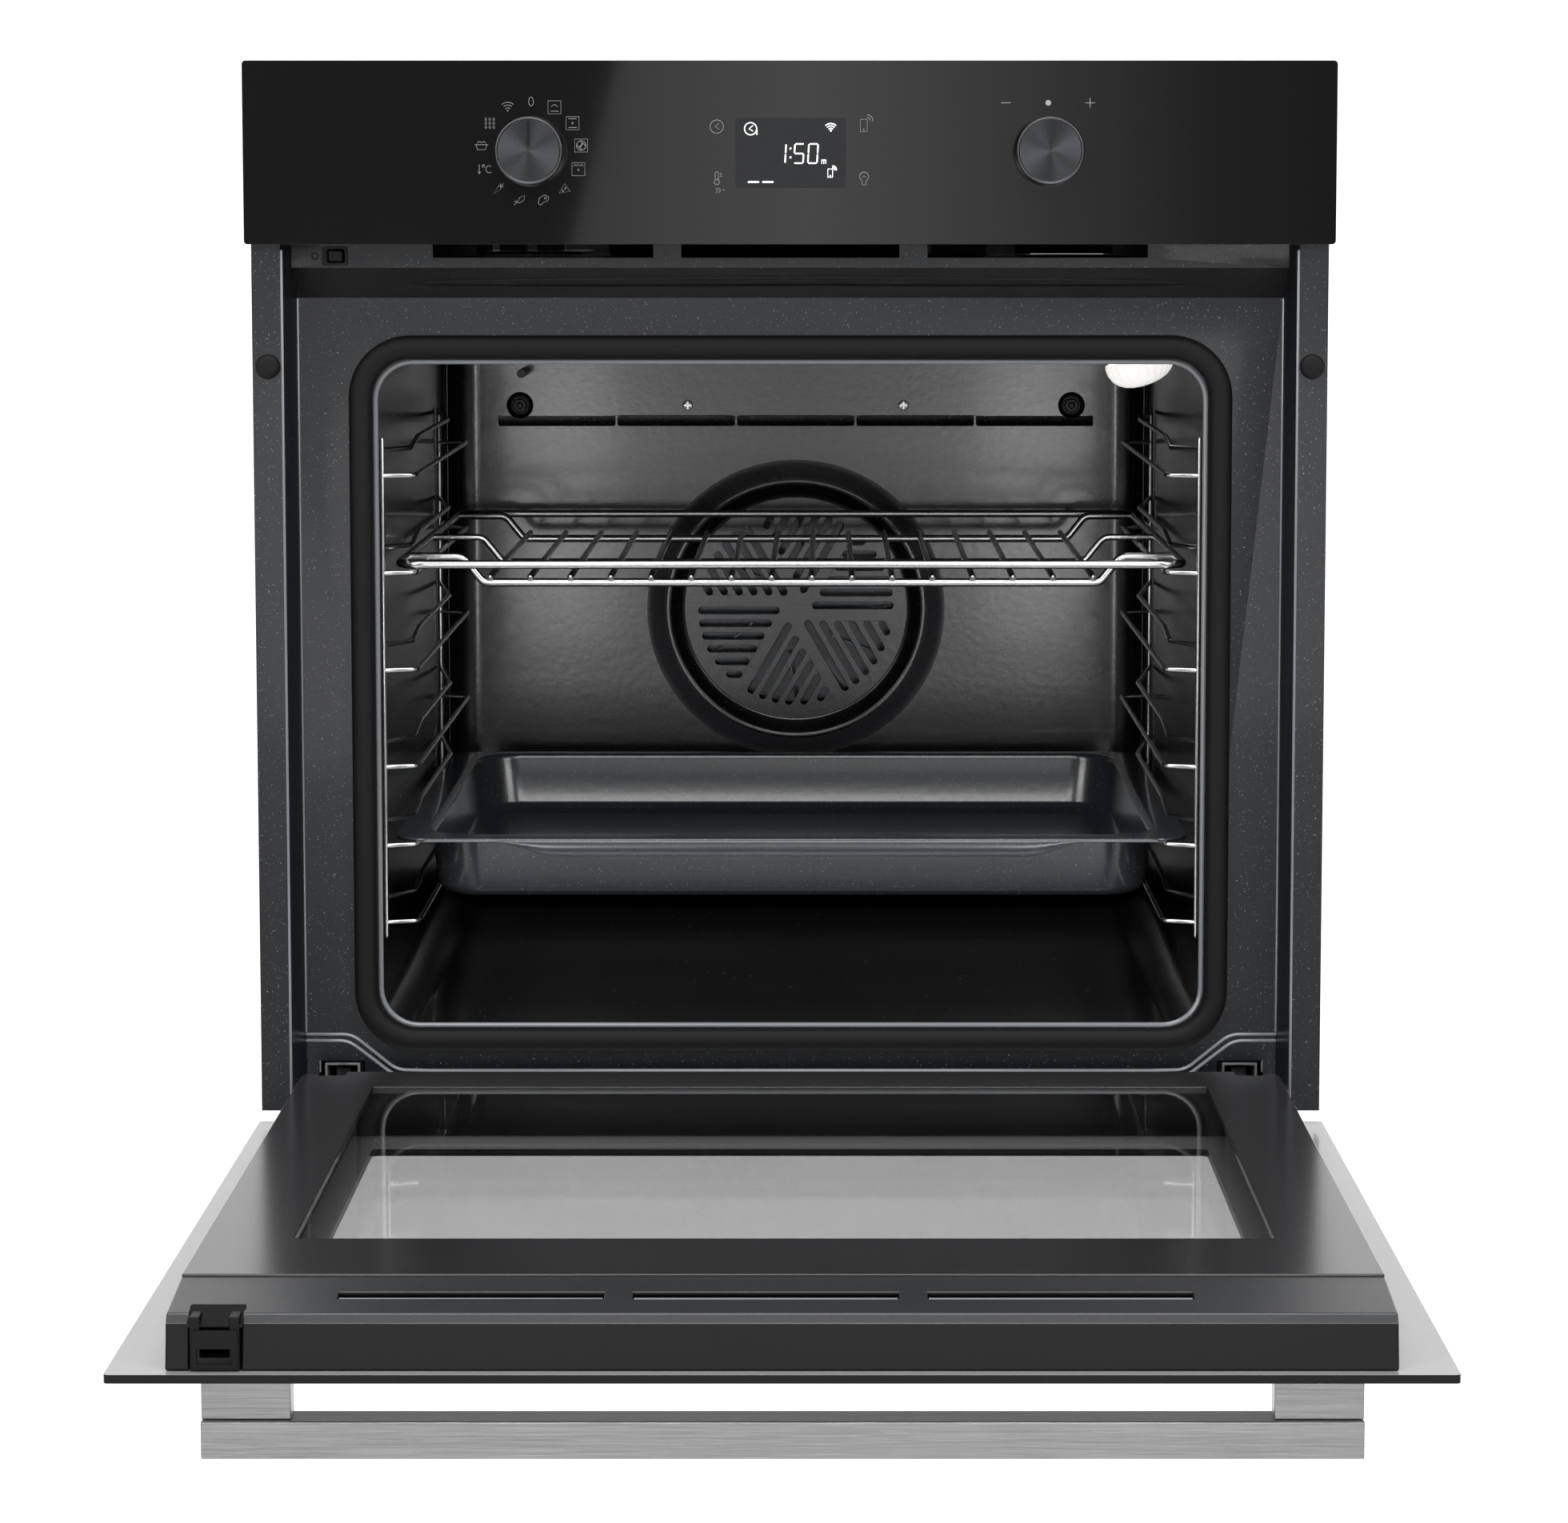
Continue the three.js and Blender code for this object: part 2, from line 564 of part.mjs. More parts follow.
// ---- Heating and air ----------------------------------------------------------------------------
function grillHeater() {
  const z = grillZ;
  const backEnd = linerBack + 10;
  const y0 = mouth + 60;
  const y1 = baffleY - 60;
  const wide = halfCavity - 82;
  const lane = wide / 5;
  const route = [
    [-heaterX, backEnd, z], [-heaterX, y1, z], [-wide, y1, z], [-wide, y0, z], [-3 * lane, y0, z],
    [-3 * lane, y1 - 50, z], [-lane, y1 - 50, z], [-lane, y0, z], [lane, y0, z], [lane, y1 - 50, z],
    [3 * lane, y1 - 50, z], [3 * lane, y0, z], [wide, y0, z], [wide, y1, z], [heaterX, y1, z],
    [heaterX, backEnd, z]];
  piece('grill_heater', wire(bent(route, 18, 3), 6.5), darkMetal);
}

function ringHeater() {
  const z = fanZ;
  const y = baffleY + FAN_CHAMBER / 2 + 1;
  const r = FAN_RADIUS + 30;
  const drop = ringDrop;
  const route = [[-heaterX, linerBack + 10, z - drop], [-heaterX, y + 6, z - drop]];
  const start = Math.atan2(-drop, -heaterX);
  const sweep = 2 * Math.PI - 2 * Math.atan2(heaterX, drop);
  for (let i = 1; i <= 20; i += 1) {
    const angle = start - (sweep * i) / 21;
    route.push([r * Math.cos(angle), y, z + r * Math.sin(angle)]);
  }
  route.push([heaterX, y + 6, z - drop], [heaterX, linerBack + 10, z - drop]);
  piece('ring_heater', wire(route, 6.5), darkMetal);
}

function lowerHeater() {
  const z = CAVITY_FLOOR - SHEET - 6;
  const wide = halfCavity - 62;
  const near = mouth + 65;
  const far = linerBack - 168;
  const route = [
    [-60, back - 40, z], [-60, far, z], [-wide, far, z], [-wide, near, z], [wide, near, z], [wide, far, z],
    [60, far, z], [60, back - 40, z]];
  piece('lower_heater', wire(bent(route, 30, 3), 6.5), darkMetal);
}

function probe() {
  const z = probeZ;
  piece('temperature_probe', rod(3, 90, 8, [0, 1, 0], [probeX, linerBack - 80, z]).add(
    rod(4.4, 8, 8, [0, 1, 0], [probeX, linerBack - 3, z])), steel);
}

const fanHub = baffleY + FAN_CHAMBER / 2 - 9;

function convectionFan() {
  const disc = rod(FAN_RADIUS, SHEET, 28, [0, 1, 0], [0, fanHub + 12, fanZ]);
  const hub = rod(11, 14, 14, [0, 1, 0], [0, fanHub + 1, fanZ]);
  const shaft = rod(4, linerBack + 22 - fanHub, 12, [0, 1, 0], [0, fanHub + 5, fanZ]);
  const blades = [];
  for (let i = 0; i < 12; i += 1) {
    const blade = new THREE.BoxGeometry(34, 13, SHEET);
    blade.rotateY(0.5);
    blade.translate(FAN_RADIUS - 18, fanHub + 6, 0);
    blade.rotateY((i * Math.PI) / 6);
    blade.translate(0, 0, fanZ);
    blades.push(solid(blade));
  }
  piece('convection_fan', join([disc, hub, shaft, ...blades]), aluminium);
}

function fanMotor() {
  const y = linerBack + SHEET + 2;
  const plate = box([-34, y, fanZ - 34], [34, y + 1.6, fanZ + 34]);
  const can = rod(29, 24, 20, [0, 1, 0], [0, y, fanZ]);
  const bore = rod(4 + RUN, 40, 14, [0, 1, 0], [0, y - 2, fanZ]);
  piece('fan_motor', plate.add(can).subtract(bore), zinc);
}

const blowerX = -20;
const blowerY = back - 157.5;
const blowerZ = ceiling + 84;

function coolingBlower() {
  const rims = [-90, 90].map((x) => rod(28, 2, 20, [1, 0, 0], [blowerX + x - 1, blowerY, blowerZ]));
  const axle = rod(4, 214, 10, [1, 0, 0], [blowerX - 94, blowerY, blowerZ]);
  const vanes = [];
  const vaneCount = 12;
  for (let i = 0; i < vaneCount; i += 1) {
    const vane = new THREE.BoxGeometry(180, 7, 1);
    vane.rotateX(0.6);
    vane.translate(0, 25, 0);
    vane.rotateX((2 * i * Math.PI) / vaneCount);
    vane.translate(blowerX, blowerY, blowerZ);
    vanes.push(solid(vane));
  }
  piece('cooling_blower', join([...rims, axle, ...vanes]), zinc);
}

function blowerMotor() {
  const x = blowerX + 108;
  const core = box([x, blowerY - 26, blowerZ - 26], [x + 34, blowerY + 26, blowerZ + 26]);
  const bore = rod(4 + RUN, 60, 14, [1, 0, 0], [x - 10, blowerY, blowerZ]);
  const foot = box([x, blowerY - 26, compartment + SHEET + GAP], [x + 34, blowerY + 26, blowerZ - 25]);
  piece('blower_motor', core.add(foot).subtract(bore), darkMetal);
}

// The blower's housing and the flat duct that leads its air to the outlet over the door.
function coolingDuct() {
  const y0 = front + OUTLET_SETBACK + SHEET + GAP;
  const half = outletHalf + 6;
  const floor = compartment + SHEET + GAP;
  const throat = box([-half, y0, floor], [half, blowerY - 36, floor + 20]);
  const throatInner = box(
    [-half + SHEET, y0 - 1, floor + SHEET], [half - SHEET, blowerY - 30, floor + 20 - SHEET]);
  const scroll = box([blowerX - 98, blowerY - 36 - SHEET, floor], [blowerX + 98, blowerY + 36, blowerZ + 34]);
  const scrollInner = box([blowerX - 98 + SHEET, blowerY - 36, floor + SHEET],
    [blowerX + 98 - SHEET, blowerY + 36 - SHEET, blowerZ + 34 - SHEET]);
  const passage = box([blowerX - 98 + SHEET, blowerY - 40, floor + SHEET],
    [blowerX + 98 - SHEET, blowerY - 30, floor + 20 - SHEET]);
  const eyes = rod(20, 240, 18, [1, 0, 0], [blowerX - 120, blowerY, blowerZ]);
  piece('cooling_duct', cut(throat.add(scroll), [throatInner, scrollInner, passage, eyes]), zinc);
}

function compartmentFloor() {
  piece('compartment_floor', box([-caseInner, seat + 30, compartment],
    [caseInner, back - SHEET - GAP, compartment + SHEET]), zinc);
}

function insulation() {
  const start = face + 24;
  const outer = box(
    [-halfCavity - 22, start, CAVITY_FLOOR - 20], [halfCavity + 22, linerBack + 1.5, ceiling + 24]);
  const inner = alongY(roundRect(-halfCavity - SHEET - GAP, CAVITY_FLOOR - SHEET - GAP - 13,
    halfCavity + SHEET + GAP, ceiling + SHEET + GAP, MOUTH_RADIUS), start - 1, linerBack + 10, 4);
  const lampWell = rod(22, 60, 16, [0, 0, 1], [lampX - 20, lampY, ceiling - 6]);
  piece('insulation_blanket', cut(outer, [inner, lampWell]), wool);
}

// ---- Control panel ------------------------------------------------------------------------------
function shaftHoles() {
  return [-1, 1].map((s) => rod(SHAFT_RADIUS + 2, 20, 14, [0, 1, 0], [s * KNOB_SPREAD, front - 5, knobZ]));
}

function panelGlass() {
  const sheet = alongY(roundRect(-halfPanel, panelBase, halfPanel, panelTop, 2), front, front + GLASS, 2);
  const holes = shaftHoles();
  piece('control_panel_glass', cut(sheet, holes), blackGlass);
}

function panelCarrier() {
  const half = halfPanel - 6;
  const z0 = panelBase + 9;
  const z1 = panelTop - 5;
  const y0 = front + GLASS + GAP;
  const shell = box([-half, y0, z0], [half, seat - GAP, z1]);
  const hollow = box([-half + 2, y0 + 4, z0 + 2], [half - 2, seat + 1, z1 - 2]);
  const windowHole = box([-34, y0 - 1, knobZ - 24], [34, y0 + 5, knobZ + 24]);
  const holes = shaftHoles();
  piece('panel_carrier', cut(shell, [hollow, windowHole, ...holes]), blackPlastic);
}

const boardY = front + 20;

function electronics() {
  piece('display_module', box([-32, front + GLASS + GAP + 0.2, knobZ - 22],
    [32, boardY - GAP - 3, knobZ + 22]), blackPlastic);
  piece('touch_board', box([-92, boardY - 3, knobZ - 27], [92, boardY - 1.4, knobZ + 27]), board);
  [['program', -1], ['setting', 1]].forEach(([name, s]) => {
    const x = s * KNOB_SPREAD;
    const y = front + GLASS + GAP + 4 + GAP;
    const body = box([x - 14, y, knobZ - 14], [x + 14, y + 11, knobZ + 14]);
    const bore = rod(SHAFT_RADIUS + RUN, 30, 14, [0, 1, 0], [x, y - 5, knobZ]);
    piece(`${name}_switch`, body.subtract(bore), greyPlastic);
  });
  const z = compartment + SHEET + GAP;
  const left = -halfCasing + 22;
  const y = back - 177.5;
  const tray = box([left, y, z], [left + 120, y + 130, z + 3]);
  const relays = [0, 1, 2, 3].map((i) => box(
    [left + 10 + i * 25, y + 90, z + 2], [left + 28 + i * 25, y + 112, z + 22]));
  const supply = box([left + 14, y + 20, z + 2], [left + 58, y + 58, z + 30]);
  piece('power_board', join([tray, ...relays, supply]), board);
  const block = box(
    [terminalX - 20, back - 46, terminalZ - 12], [terminalX + 20, back - SHEET - GAP, terminalZ + 12]);
  const entries = [-1, 0, 1].map((i) => rod(
    3.2, 30, 10, [0, 1, 0], [terminalX + i * 11, back - 30, terminalZ]));
  piece('terminal_block', cut(block, entries), greyPlastic);
}

// The knob stands on its shaft, which runs through the glass into the switch.
function knob(name, s) {
  const x = s * KNOB_SPREAD;
  const skirt = front - 1.2;
  const tip = skirt - KNOB_LENGTH;
  const profile = [
    [0, 0], [KNOB_RADIUS - 2, 0], [KNOB_RADIUS - 0.7, 0.8],
    [KNOB_RADIUS, KNOB_LENGTH - 1], [KNOB_RADIUS, KNOB_LENGTH], [KNOB_RADIUS - 3, KNOB_LENGTH],
    [KNOB_RADIUS - 3, 6], [SHAFT_RADIUS, 6], [SHAFT_RADIUS, KNOB_LENGTH + 17], [0, KNOB_LENGTH + 17]];
  const body = turned(profile, 24, [0, 1, 0], [x, tip, knobZ]);
  const pointer = box([x - 0.6, tip - 1, knobZ + 2], [x + 0.6, tip + 0.8, knobZ + KNOB_RADIUS - 4]);
  piece(name, s < 0 ? body.subtract(pointer) : body, darkMetal);
}

// ---- Latch and hinges ---------------------------------------------------------------------------
function latch() {
  const y = front + OUTLET_SETBACK + SHEET + GAP;
  const rear = face - GAP;
  const housing = box([latchX - 10, y, outletBase + SHEET], [latchX + 10, rear, latchZ + 9]);
  const bore = box([latchX - 4.4, y - 1, latchZ - 3.4], [latchX + 4.4, rear - 1, latchZ + 3.4]);
  piece('latch_housing', housing.subtract(bore), blackPlastic);
  const tongue = box([latchX - 3.8, front + OUTLET_SETBACK - 3, latchZ - 2.8],
    [latchX + 3.8, rear - 1 - LATCH_TRAVEL - GAP, latchZ + 2.8]);
  const nose = alongX(outline([
    [front + OUTLET_SETBACK - 4, latchZ - 3.4], [front + OUTLET_SETBACK + 2, latchZ - 3.4],
    [front + OUTLET_SETBACK + 2, latchZ - 2]]), latchX - 5, latchX + 5);
  piece('latch_tongue', tongue.subtract(nose), blackPlastic);
}

const pivotY = front + PIVOT_SETBACK;
const armHalf = 4;
const rollerY = face + 13.5;
const rollerZ = 6.3;

function hingeReceivers() {
  [['left', -1], ['right', 1]].forEach(([name, s]) => {
    const x = s * hingeX;
    const y0 = face + SHEET + GAP;
    const channel = box([x - 10, y0, 1.8], [x + 10, y0 + 120, 19.5]);
    const hollow = box([x - 8.5, y0 - 1, 3.3], [x + 8.5, y0 + 130, 18]);
    const roller = rod(2.5, 18, 12, [1, 0, 0], [x - 9, rollerY, rollerZ]);
    piece(`hinge_receiver_${name}`, channel.subtract(hollow).add(roller), zinc);
  });
}

// Each arm stays with the casing: it hooks over the receiver's roller and carries the door's pivot pin.
function hingeArms() {
  const eye = 5.5;
  const profile = outline([
    [pivotY, PIVOT_HEIGHT - eye], [pivotY + 10, PIVOT_HEIGHT - eye], [face - 1, 4], [rollerY - 4, 4],
    [rollerY - 4, 10], [rollerY + 4, 10], [rollerY + 4, 4], [face + 60, 4], [face + 60, 16], [face + 8, 16],
    [face + 5, 11], [face - 1, 11], [pivotY + 4, 1.5], [pivotY, PIVOT_HEIGHT + eye - 1]]);
  [['left', -1], ['right', 1]].forEach(([name, s]) => {
    const x = s * hingeX;
    const bar = alongX(profile, x - armHalf, x + armHalf);
    const barrel = rod(eye, 2 * armHalf, 16, [1, 0, 0], [x - armHalf, pivotY, PIVOT_HEIGHT]);
    const bore = rod(SHAFT_RADIUS + RUN, 20, 16, [1, 0, 0], [x - 10, pivotY, PIVOT_HEIGHT]);
    piece(`hinge_arm_${name}`, bar.add(barrel).subtract(bore), darkMetal);
  });
}

// ---- Door, modelled open: its outer glass lies flat under it -------------------------------------
const glassLow = PIVOT_HEIGHT - PIVOT_SETBACK;          // underside of the open outer glass
const doorNear = pivotY - (doorTop - PIVOT_HEIGHT);    // free edge when open
const doorFar = pivotY + (PIVOT_HEIGHT + DOOR_DROP);    // hinge edge when open
const bodyTop = glassLow + DOOR_BODY;
const bodyFar = front + 6.8;
const bodyLow = glassLow + GLASS + GAP;
const trimLength = 49;
const trimFar = doorNear + trimLength + 4;
const windowFar = front - 32;
const windowNear = doorNear + 116.3;

function doorGlasses() {
  const plan = (x, y0, y1, r) => roundRect(-x, y0, x, y1, r);
  piece('door_outer_glass', alongZ(
    plan(halfPanel, doorNear, doorFar, 2), glassLow, glassLow + GLASS, 2), blackGlass);
  piece('door_middle_glass', alongZ(plan(windowHalf + 11, windowNear - 11, windowFar + 11, 3),
    bodyLow + 12, bodyLow + 15, 2), clearGlass);
  const notches = [-1, 1].map((s) => box(
    [s * hingeX - armHalf - 3, front - 3, bodyTop - 10],
    [s * hingeX + armHalf + 3, bodyFar + 1, bodyTop + 1]));
  piece('door_inner_glass', cut(alongZ(plan(bodyHalf, trimFar + GAP, bodyFar, 14),
    bodyTop - GLASS, bodyTop, 4), notches), blackGlass);
}

function doorRails() {
  const z1 = bodyTop - GLASS - GAP;
  const inner = windowHalf + 12;
  [['left', -1], ['right', 1]].forEach(([name, s]) => {
    const span = (a, b) => [Math.min(s * a, s * b), Math.max(s * a, s * b)];
    const [x0, x1] = span(inner, bodyHalf - 2);
    const rail = box([x0, trimFar + GAP, bodyLow], [x1, bodyFar - 4, z1]);
    const slot = box([s * hingeX - 9, bodyFar - 150, bodyLow + 3], [s * hingeX + 9, bodyFar + 5, z1 + 1]);
    piece(`door_rail_${name}`, rail.subtract(slot), blackPlastic);
  });
  const bar = (name, y0, y1) => piece(
    name, box([-inner + GAP, y0, bodyLow], [inner - GAP, y1, z1]), blackPlastic);
  bar('door_lower_bar', windowFar + 12, bodyFar - 4);
  bar('door_upper_bar', trimFar + GAP, windowNear - 12);
}

const strikeX = latchX + 2;

function doorTrim() {
  const drop = 4;
  const lip = doorNear + 5;
  const profile = [
    [lip, bodyLow], [lip + 3, bodyTop - drop - 6], [lip + 6, bodyTop - drop - 2], [trimFar, bodyTop - 1],
    [trimFar, bodyLow]];
  const shell = alongX(outline(profile), -bodyHalf, bodyHalf);
  const hollow = alongX(outline([
    [lip + 2, bodyLow - 1], [lip + 5, bodyTop - drop - 7], [lip + 8, bodyTop - drop - 4.4],
    [trimFar - 2, bodyTop - 3.2],
    [trimFar - 2, bodyLow - 1]]), -bodyHalf + 2, bodyHalf - 2);
  const slotLength = (bodyHalf - 91) * 0.656;
  const slots = [-1, 0, 1].map((i) => i * (slotLength + 13) - 7.5).map((x) => box(
    [x - slotLength / 2, lip + 22, bodyTop - 12], [x + slotLength / 2, lip + 30, bodyTop + 4]));
  const seatCut = box([strikeX - 11.6, lip - 2, bodyLow - 2], [strikeX + 11.6, lip + 16, bodyTop + 2]);
  piece('door_top_trim', cut(shell, [hollow, ...slots, seatCut]), blackPlastic);
  const cap = box([strikeX - 11, lip - 0.6, bodyLow], [strikeX + 11, lip + 15.4, bodyTop - drop - 2]);
  const pocket = box([strikeX - 6.4, lip - 2, bodyLow + 6], [strikeX + 6.4, lip + 12, bodyTop + 2]);
  piece('door_latch_strike', cap.subtract(pocket), blackPlastic);
}

function handle() {
  const top = glassLow - GAP;
  const far = doorNear + HANDLE_DROP + HANDLE_BAR;
  const half = halfPanel - HANDLE_INSET;
  const barTop = top - HANDLE_STANDOFF;
  piece('handle_bar', box([-half, far - HANDLE_BAR, barTop - HANDLE_BAR], [half, far, barTop]), steel);
  [['left', -1], ['right', 1]].forEach(([name, s]) => {
    const x0 = s < 0 ? -half : half - HANDLE_POST;
    piece(`handle_post_${name}`, box([x0, far - HANDLE_BAR + 2.75, barTop + GAP],
      [x0 + HANDLE_POST, far - 2.75, top]), steel);
  });
}

// The housing lies in the door rail's slot and holds the pivot pin between its two cheeks.
function hingeHousings() {
  const z0 = bodyLow + 3 + GAP;
  const end = bodyFar - 4;
  [['left', -1], ['right', 1]].forEach(([name, s]) => {
    const x = s * hingeX;
    const cheeks = [-1, 1].map((side) => box(
      [x + (side < 0 ? -8.2 : 6.7), end - 140, z0], [x + (side < 0 ? -6.7 : 8.2), pivotY + 5, z0 + 8]));
    const web = box([x - 8.2, end - 140, z0], [x + 8.2, end, z0 + SHEET]);
    const pin = rod(SHAFT_RADIUS, 15, 12, [1, 0, 0], [x - 7.5, pivotY, PIVOT_HEIGHT]);
    piece(`hinge_housing_${name}`, join([...cheeks, web, pin]), zinc);
  });
}

// ---- Racks, shelf and tray ----------------------------------------------------------------------
const shelfRung = shelfZ - SHELF_WIRE / 2 - GAP - RACK_WIRE / 2;
const trayRung = trayZ - TRAY_SHEET - GAP - RACK_WIRE / 2;
const lowerRungs = [
  shelfRung + RUNG_PITCH, shelfRung, shelfRung - RUNG_PITCH, shelfRung - 2 * RUNG_PITCH,
  trayRung, trayRung - 0.8 * RUNG_PITCH];
const rackFront = mouth + 12;
const rackRear = baffleY - 91;
const rackX = halfCavity - RACK_REACH;
const rackTop = lowerRungs[0] + 20.3;
const rackFoot = lowerRungs[5] - 7.8;

function sideRack(name, s) {
  const wallX = halfCavity - RACK_WIRE / 2 - 1;
  const x = (v) => s * v;
  const wires = [];
  for (const y of [rackFront, rackRear]) {
    wires.push(wire([[x(wallX), y, rackFoot], [x(wallX), y, rackTop]], RACK_WIRE));
  }
  lowerRungs.forEach((z) => {
    wires.push(wire([[x(wallX), rackFront, z], [x(rackX), rackFront + 6, z], [x(rackX), rackRear - 6, z],
      [x(wallX), rackRear, z]], RACK_WIRE));
    wires.push(wire([[x(wallX), rackFront, z + 14.5], [x(rackX + 4), rackFront + 22, z + 14.5],
      [x(rackX + 4), rackFront + 60, z + 19], [x(rackX + 4), rackRear - 90, z + 19],
      [x(wallX), rackRear, z + 19]], RACK_WIRE));
  });
  piece(name, join(wires), chrome);
}

function wireShelf() {
  const x = halfCavity - SHELF_SIDE_GAP - SHELF_WIRE / 2;
  const y0 = mouth + SHELF_FRONT + SHELF_WIRE / 2;
  const y1 = baffleY - SHELF_BACK - SHELF_WIRE / 2;
  const z = shelfZ;
  const low = z - 12;
  const loop = [[0.5, y0, z], [x, y0, z], [x, y1, z], [-x, y1, z], [-x, y0, z], [-0.5, y0, z]];
  const frame = wire(bent(loop, 14, 3),
    SHELF_WIRE, 6);
  const closing = rod(SHELF_WIRE / 2 * 0.98, 3, 6, [1, 0, 0], [-1.5, y0, z]);
  const dip = (y, share) => wire(bent([
    [-x, y, z], [-x + 32, y, z], [-x + 44, y, low - 3],
    [x - 44, y, low - 3], [x - 32, y, z], [x, y, z]], 8, 2), SHELF_WIRE * share, 6);
  const parts = [frame, closing, dip(y0 + 52, 1), dip(y1 - 18, 1), dip((y0 + y1) / 2, 0.8)];
  const pitch = (2 * x - 96) / 15;
  for (let i = 0; i < 16; i += 1) {
    const at = (i - 7.5) * pitch;
    parts.push(wire([[at, y0 + 48, low + 0.6], [at, y1 - 14, low + 0.6]], 3.6));
  }
  piece('wire_shelf', join(parts), chrome);
}

function bakingTray() {
  const half = halfCavity - TRAY_SIDE_GAP;
  const y0 = mouth + SHELF_FRONT;
  const y1 = baffleY - TRAY_BACK;
  const rim = alongZ(roundRect(-half, y0, half, y1, 20), trayZ - TRAY_SHEET, trayZ, 4);
  const bowl = (inset, z0, z1, grow) => {
    const low = { x: half - 33 - inset, y0: y0 + 34 + inset, y1: y1 - 24 - inset };
    const steps = [[0, 0], [grow * 0.8, 0.12], [grow, 1]];
    const bodies = [];
    for (let i = 0; i < 2; i += 1) {
      const [g0, t0] = steps[i];
      const [g1, t1] = steps[i + 1];
      bodies.push(tapered(low, g0, g1, z0 + (z1 - z0) * t0, z0 + (z1 - z0) * t1));
    }
    return join(bodies);
  };
  const floor = trayZ - TRAY_DEEP;
  const outer = bowl(0, floor, trayZ, 14);
  const inner = bowl(TRAY_SHEET, floor + TRAY_SHEET, trayZ + 1, 14);
  const apron = box([-half + 86, y0 - 0.5, trayZ - 9], [half - 86, y0 + TRAY_SHEET, trayZ]);
  piece('baking_tray', join([rim, outer, apron]).subtract(inner), enamel);
}

// A straight-sided block whose plan grows from g0 at z0 to g1 at z1.
function tapered(plan, g0, g1, z0, z1) {
  const at = (g) => roundCorners(-plan.x - g, plan.y0 - g, plan.x + g, plan.y1 + g, TRAY_RADIUS + g, 4);
  const low = at(g0);
  const high = at(g1);
  const count = low.length;
  const spots = [...low.map((p) => [p.x, p.y, z0]), ...high.map((p) => [p.x, p.y, z1])];
  const faces = THREE.ShapeUtils.triangulateShape(low, []);
  const index = [];
  faces.forEach(([a, b, c]) => index.push(c, b, a, a + count, b + count, c + count));
  for (let i = 0; i < count; i += 1) {
    const j = (i + 1) % count;
    index.push(i, j, j + count, i, j + count, i + count);
  }
  const shape = new THREE.BufferGeometry();
  shape.setAttribute('position', new THREE.Float32BufferAttribute(spots.flat(), 3));
  shape.setIndex(index);
  return solid(shape);
}

// ---- The oven -----------------------------------------------------------------------------------
basePlate();
sidePanel('side_panel_left', -1);
sidePanel('side_panel_right', 1);
rearCover();
topCover();
frontFrame();
bumpers();
cavityLiner();
backBaffle();
baffleFixings();
doorSeal();
lamp();
grillHeater();
ringHeater();
lowerHeater();
probe();
convectionFan();
fanMotor();
coolingBlower();
blowerMotor();
coolingDuct();
compartmentFloor();
insulation();
panelGlass();
panelCarrier();
electronics();
knob('program_knob', -1);
knob('setting_knob', 1);
latch();
hingeReceivers();
hingeArms();
doorGlasses();
doorRails();
doorTrim();
handle();
hingeHousings();
sideRack('side_rack_left', -1);
sideRack('side_rack_right', 1);
wireShelf();
bakingTray();

export default object;
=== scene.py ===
"""Wall oven with its door open: every part's finished look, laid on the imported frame."""
import json
import math

import bmesh
import bpy
from mathutils import Matrix, Vector
from mathutils.geometry import delaunay_2d_cdt

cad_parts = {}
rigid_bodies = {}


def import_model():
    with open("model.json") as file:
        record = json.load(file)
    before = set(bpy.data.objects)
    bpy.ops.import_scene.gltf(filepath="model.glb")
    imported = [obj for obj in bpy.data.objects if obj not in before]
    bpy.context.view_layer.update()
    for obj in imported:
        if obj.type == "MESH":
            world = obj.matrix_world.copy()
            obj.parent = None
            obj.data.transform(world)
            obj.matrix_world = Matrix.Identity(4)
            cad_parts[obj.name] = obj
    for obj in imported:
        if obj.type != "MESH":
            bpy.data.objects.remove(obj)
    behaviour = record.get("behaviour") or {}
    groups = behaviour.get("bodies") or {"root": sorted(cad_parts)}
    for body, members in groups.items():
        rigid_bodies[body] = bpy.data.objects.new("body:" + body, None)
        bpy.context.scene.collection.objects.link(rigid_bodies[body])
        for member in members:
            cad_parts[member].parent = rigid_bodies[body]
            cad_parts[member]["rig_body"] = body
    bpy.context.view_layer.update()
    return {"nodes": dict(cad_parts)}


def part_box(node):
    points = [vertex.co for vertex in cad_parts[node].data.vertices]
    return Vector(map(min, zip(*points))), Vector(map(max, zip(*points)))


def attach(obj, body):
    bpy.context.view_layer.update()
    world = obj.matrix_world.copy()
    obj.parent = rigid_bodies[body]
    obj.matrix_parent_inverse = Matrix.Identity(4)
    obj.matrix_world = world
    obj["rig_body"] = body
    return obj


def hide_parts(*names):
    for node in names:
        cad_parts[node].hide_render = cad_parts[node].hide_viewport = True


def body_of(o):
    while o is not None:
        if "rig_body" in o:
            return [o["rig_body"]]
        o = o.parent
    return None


bl_info = {
    "name": "Wall oven",
    "version": (1, 0, 0),
    "blender": (4, 5, 0),
    "location": "3D View > Sidebar > Oven",
    "description": "Builds a built-in wall oven with its door, racks, shelf, tray and controls",
    "category": "Object",
}

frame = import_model()
MM = 0.001
SHEET = 1.2             # gauge of the cavity's sheet
BAFFLE_BACK = 190.5     # depth of the back wall's rear face
FAN_Z = 235.0           # height of the hot-air fan's axis
FORWARD = (0, 1, 0)     # axis of everything turned about the front-to-back line


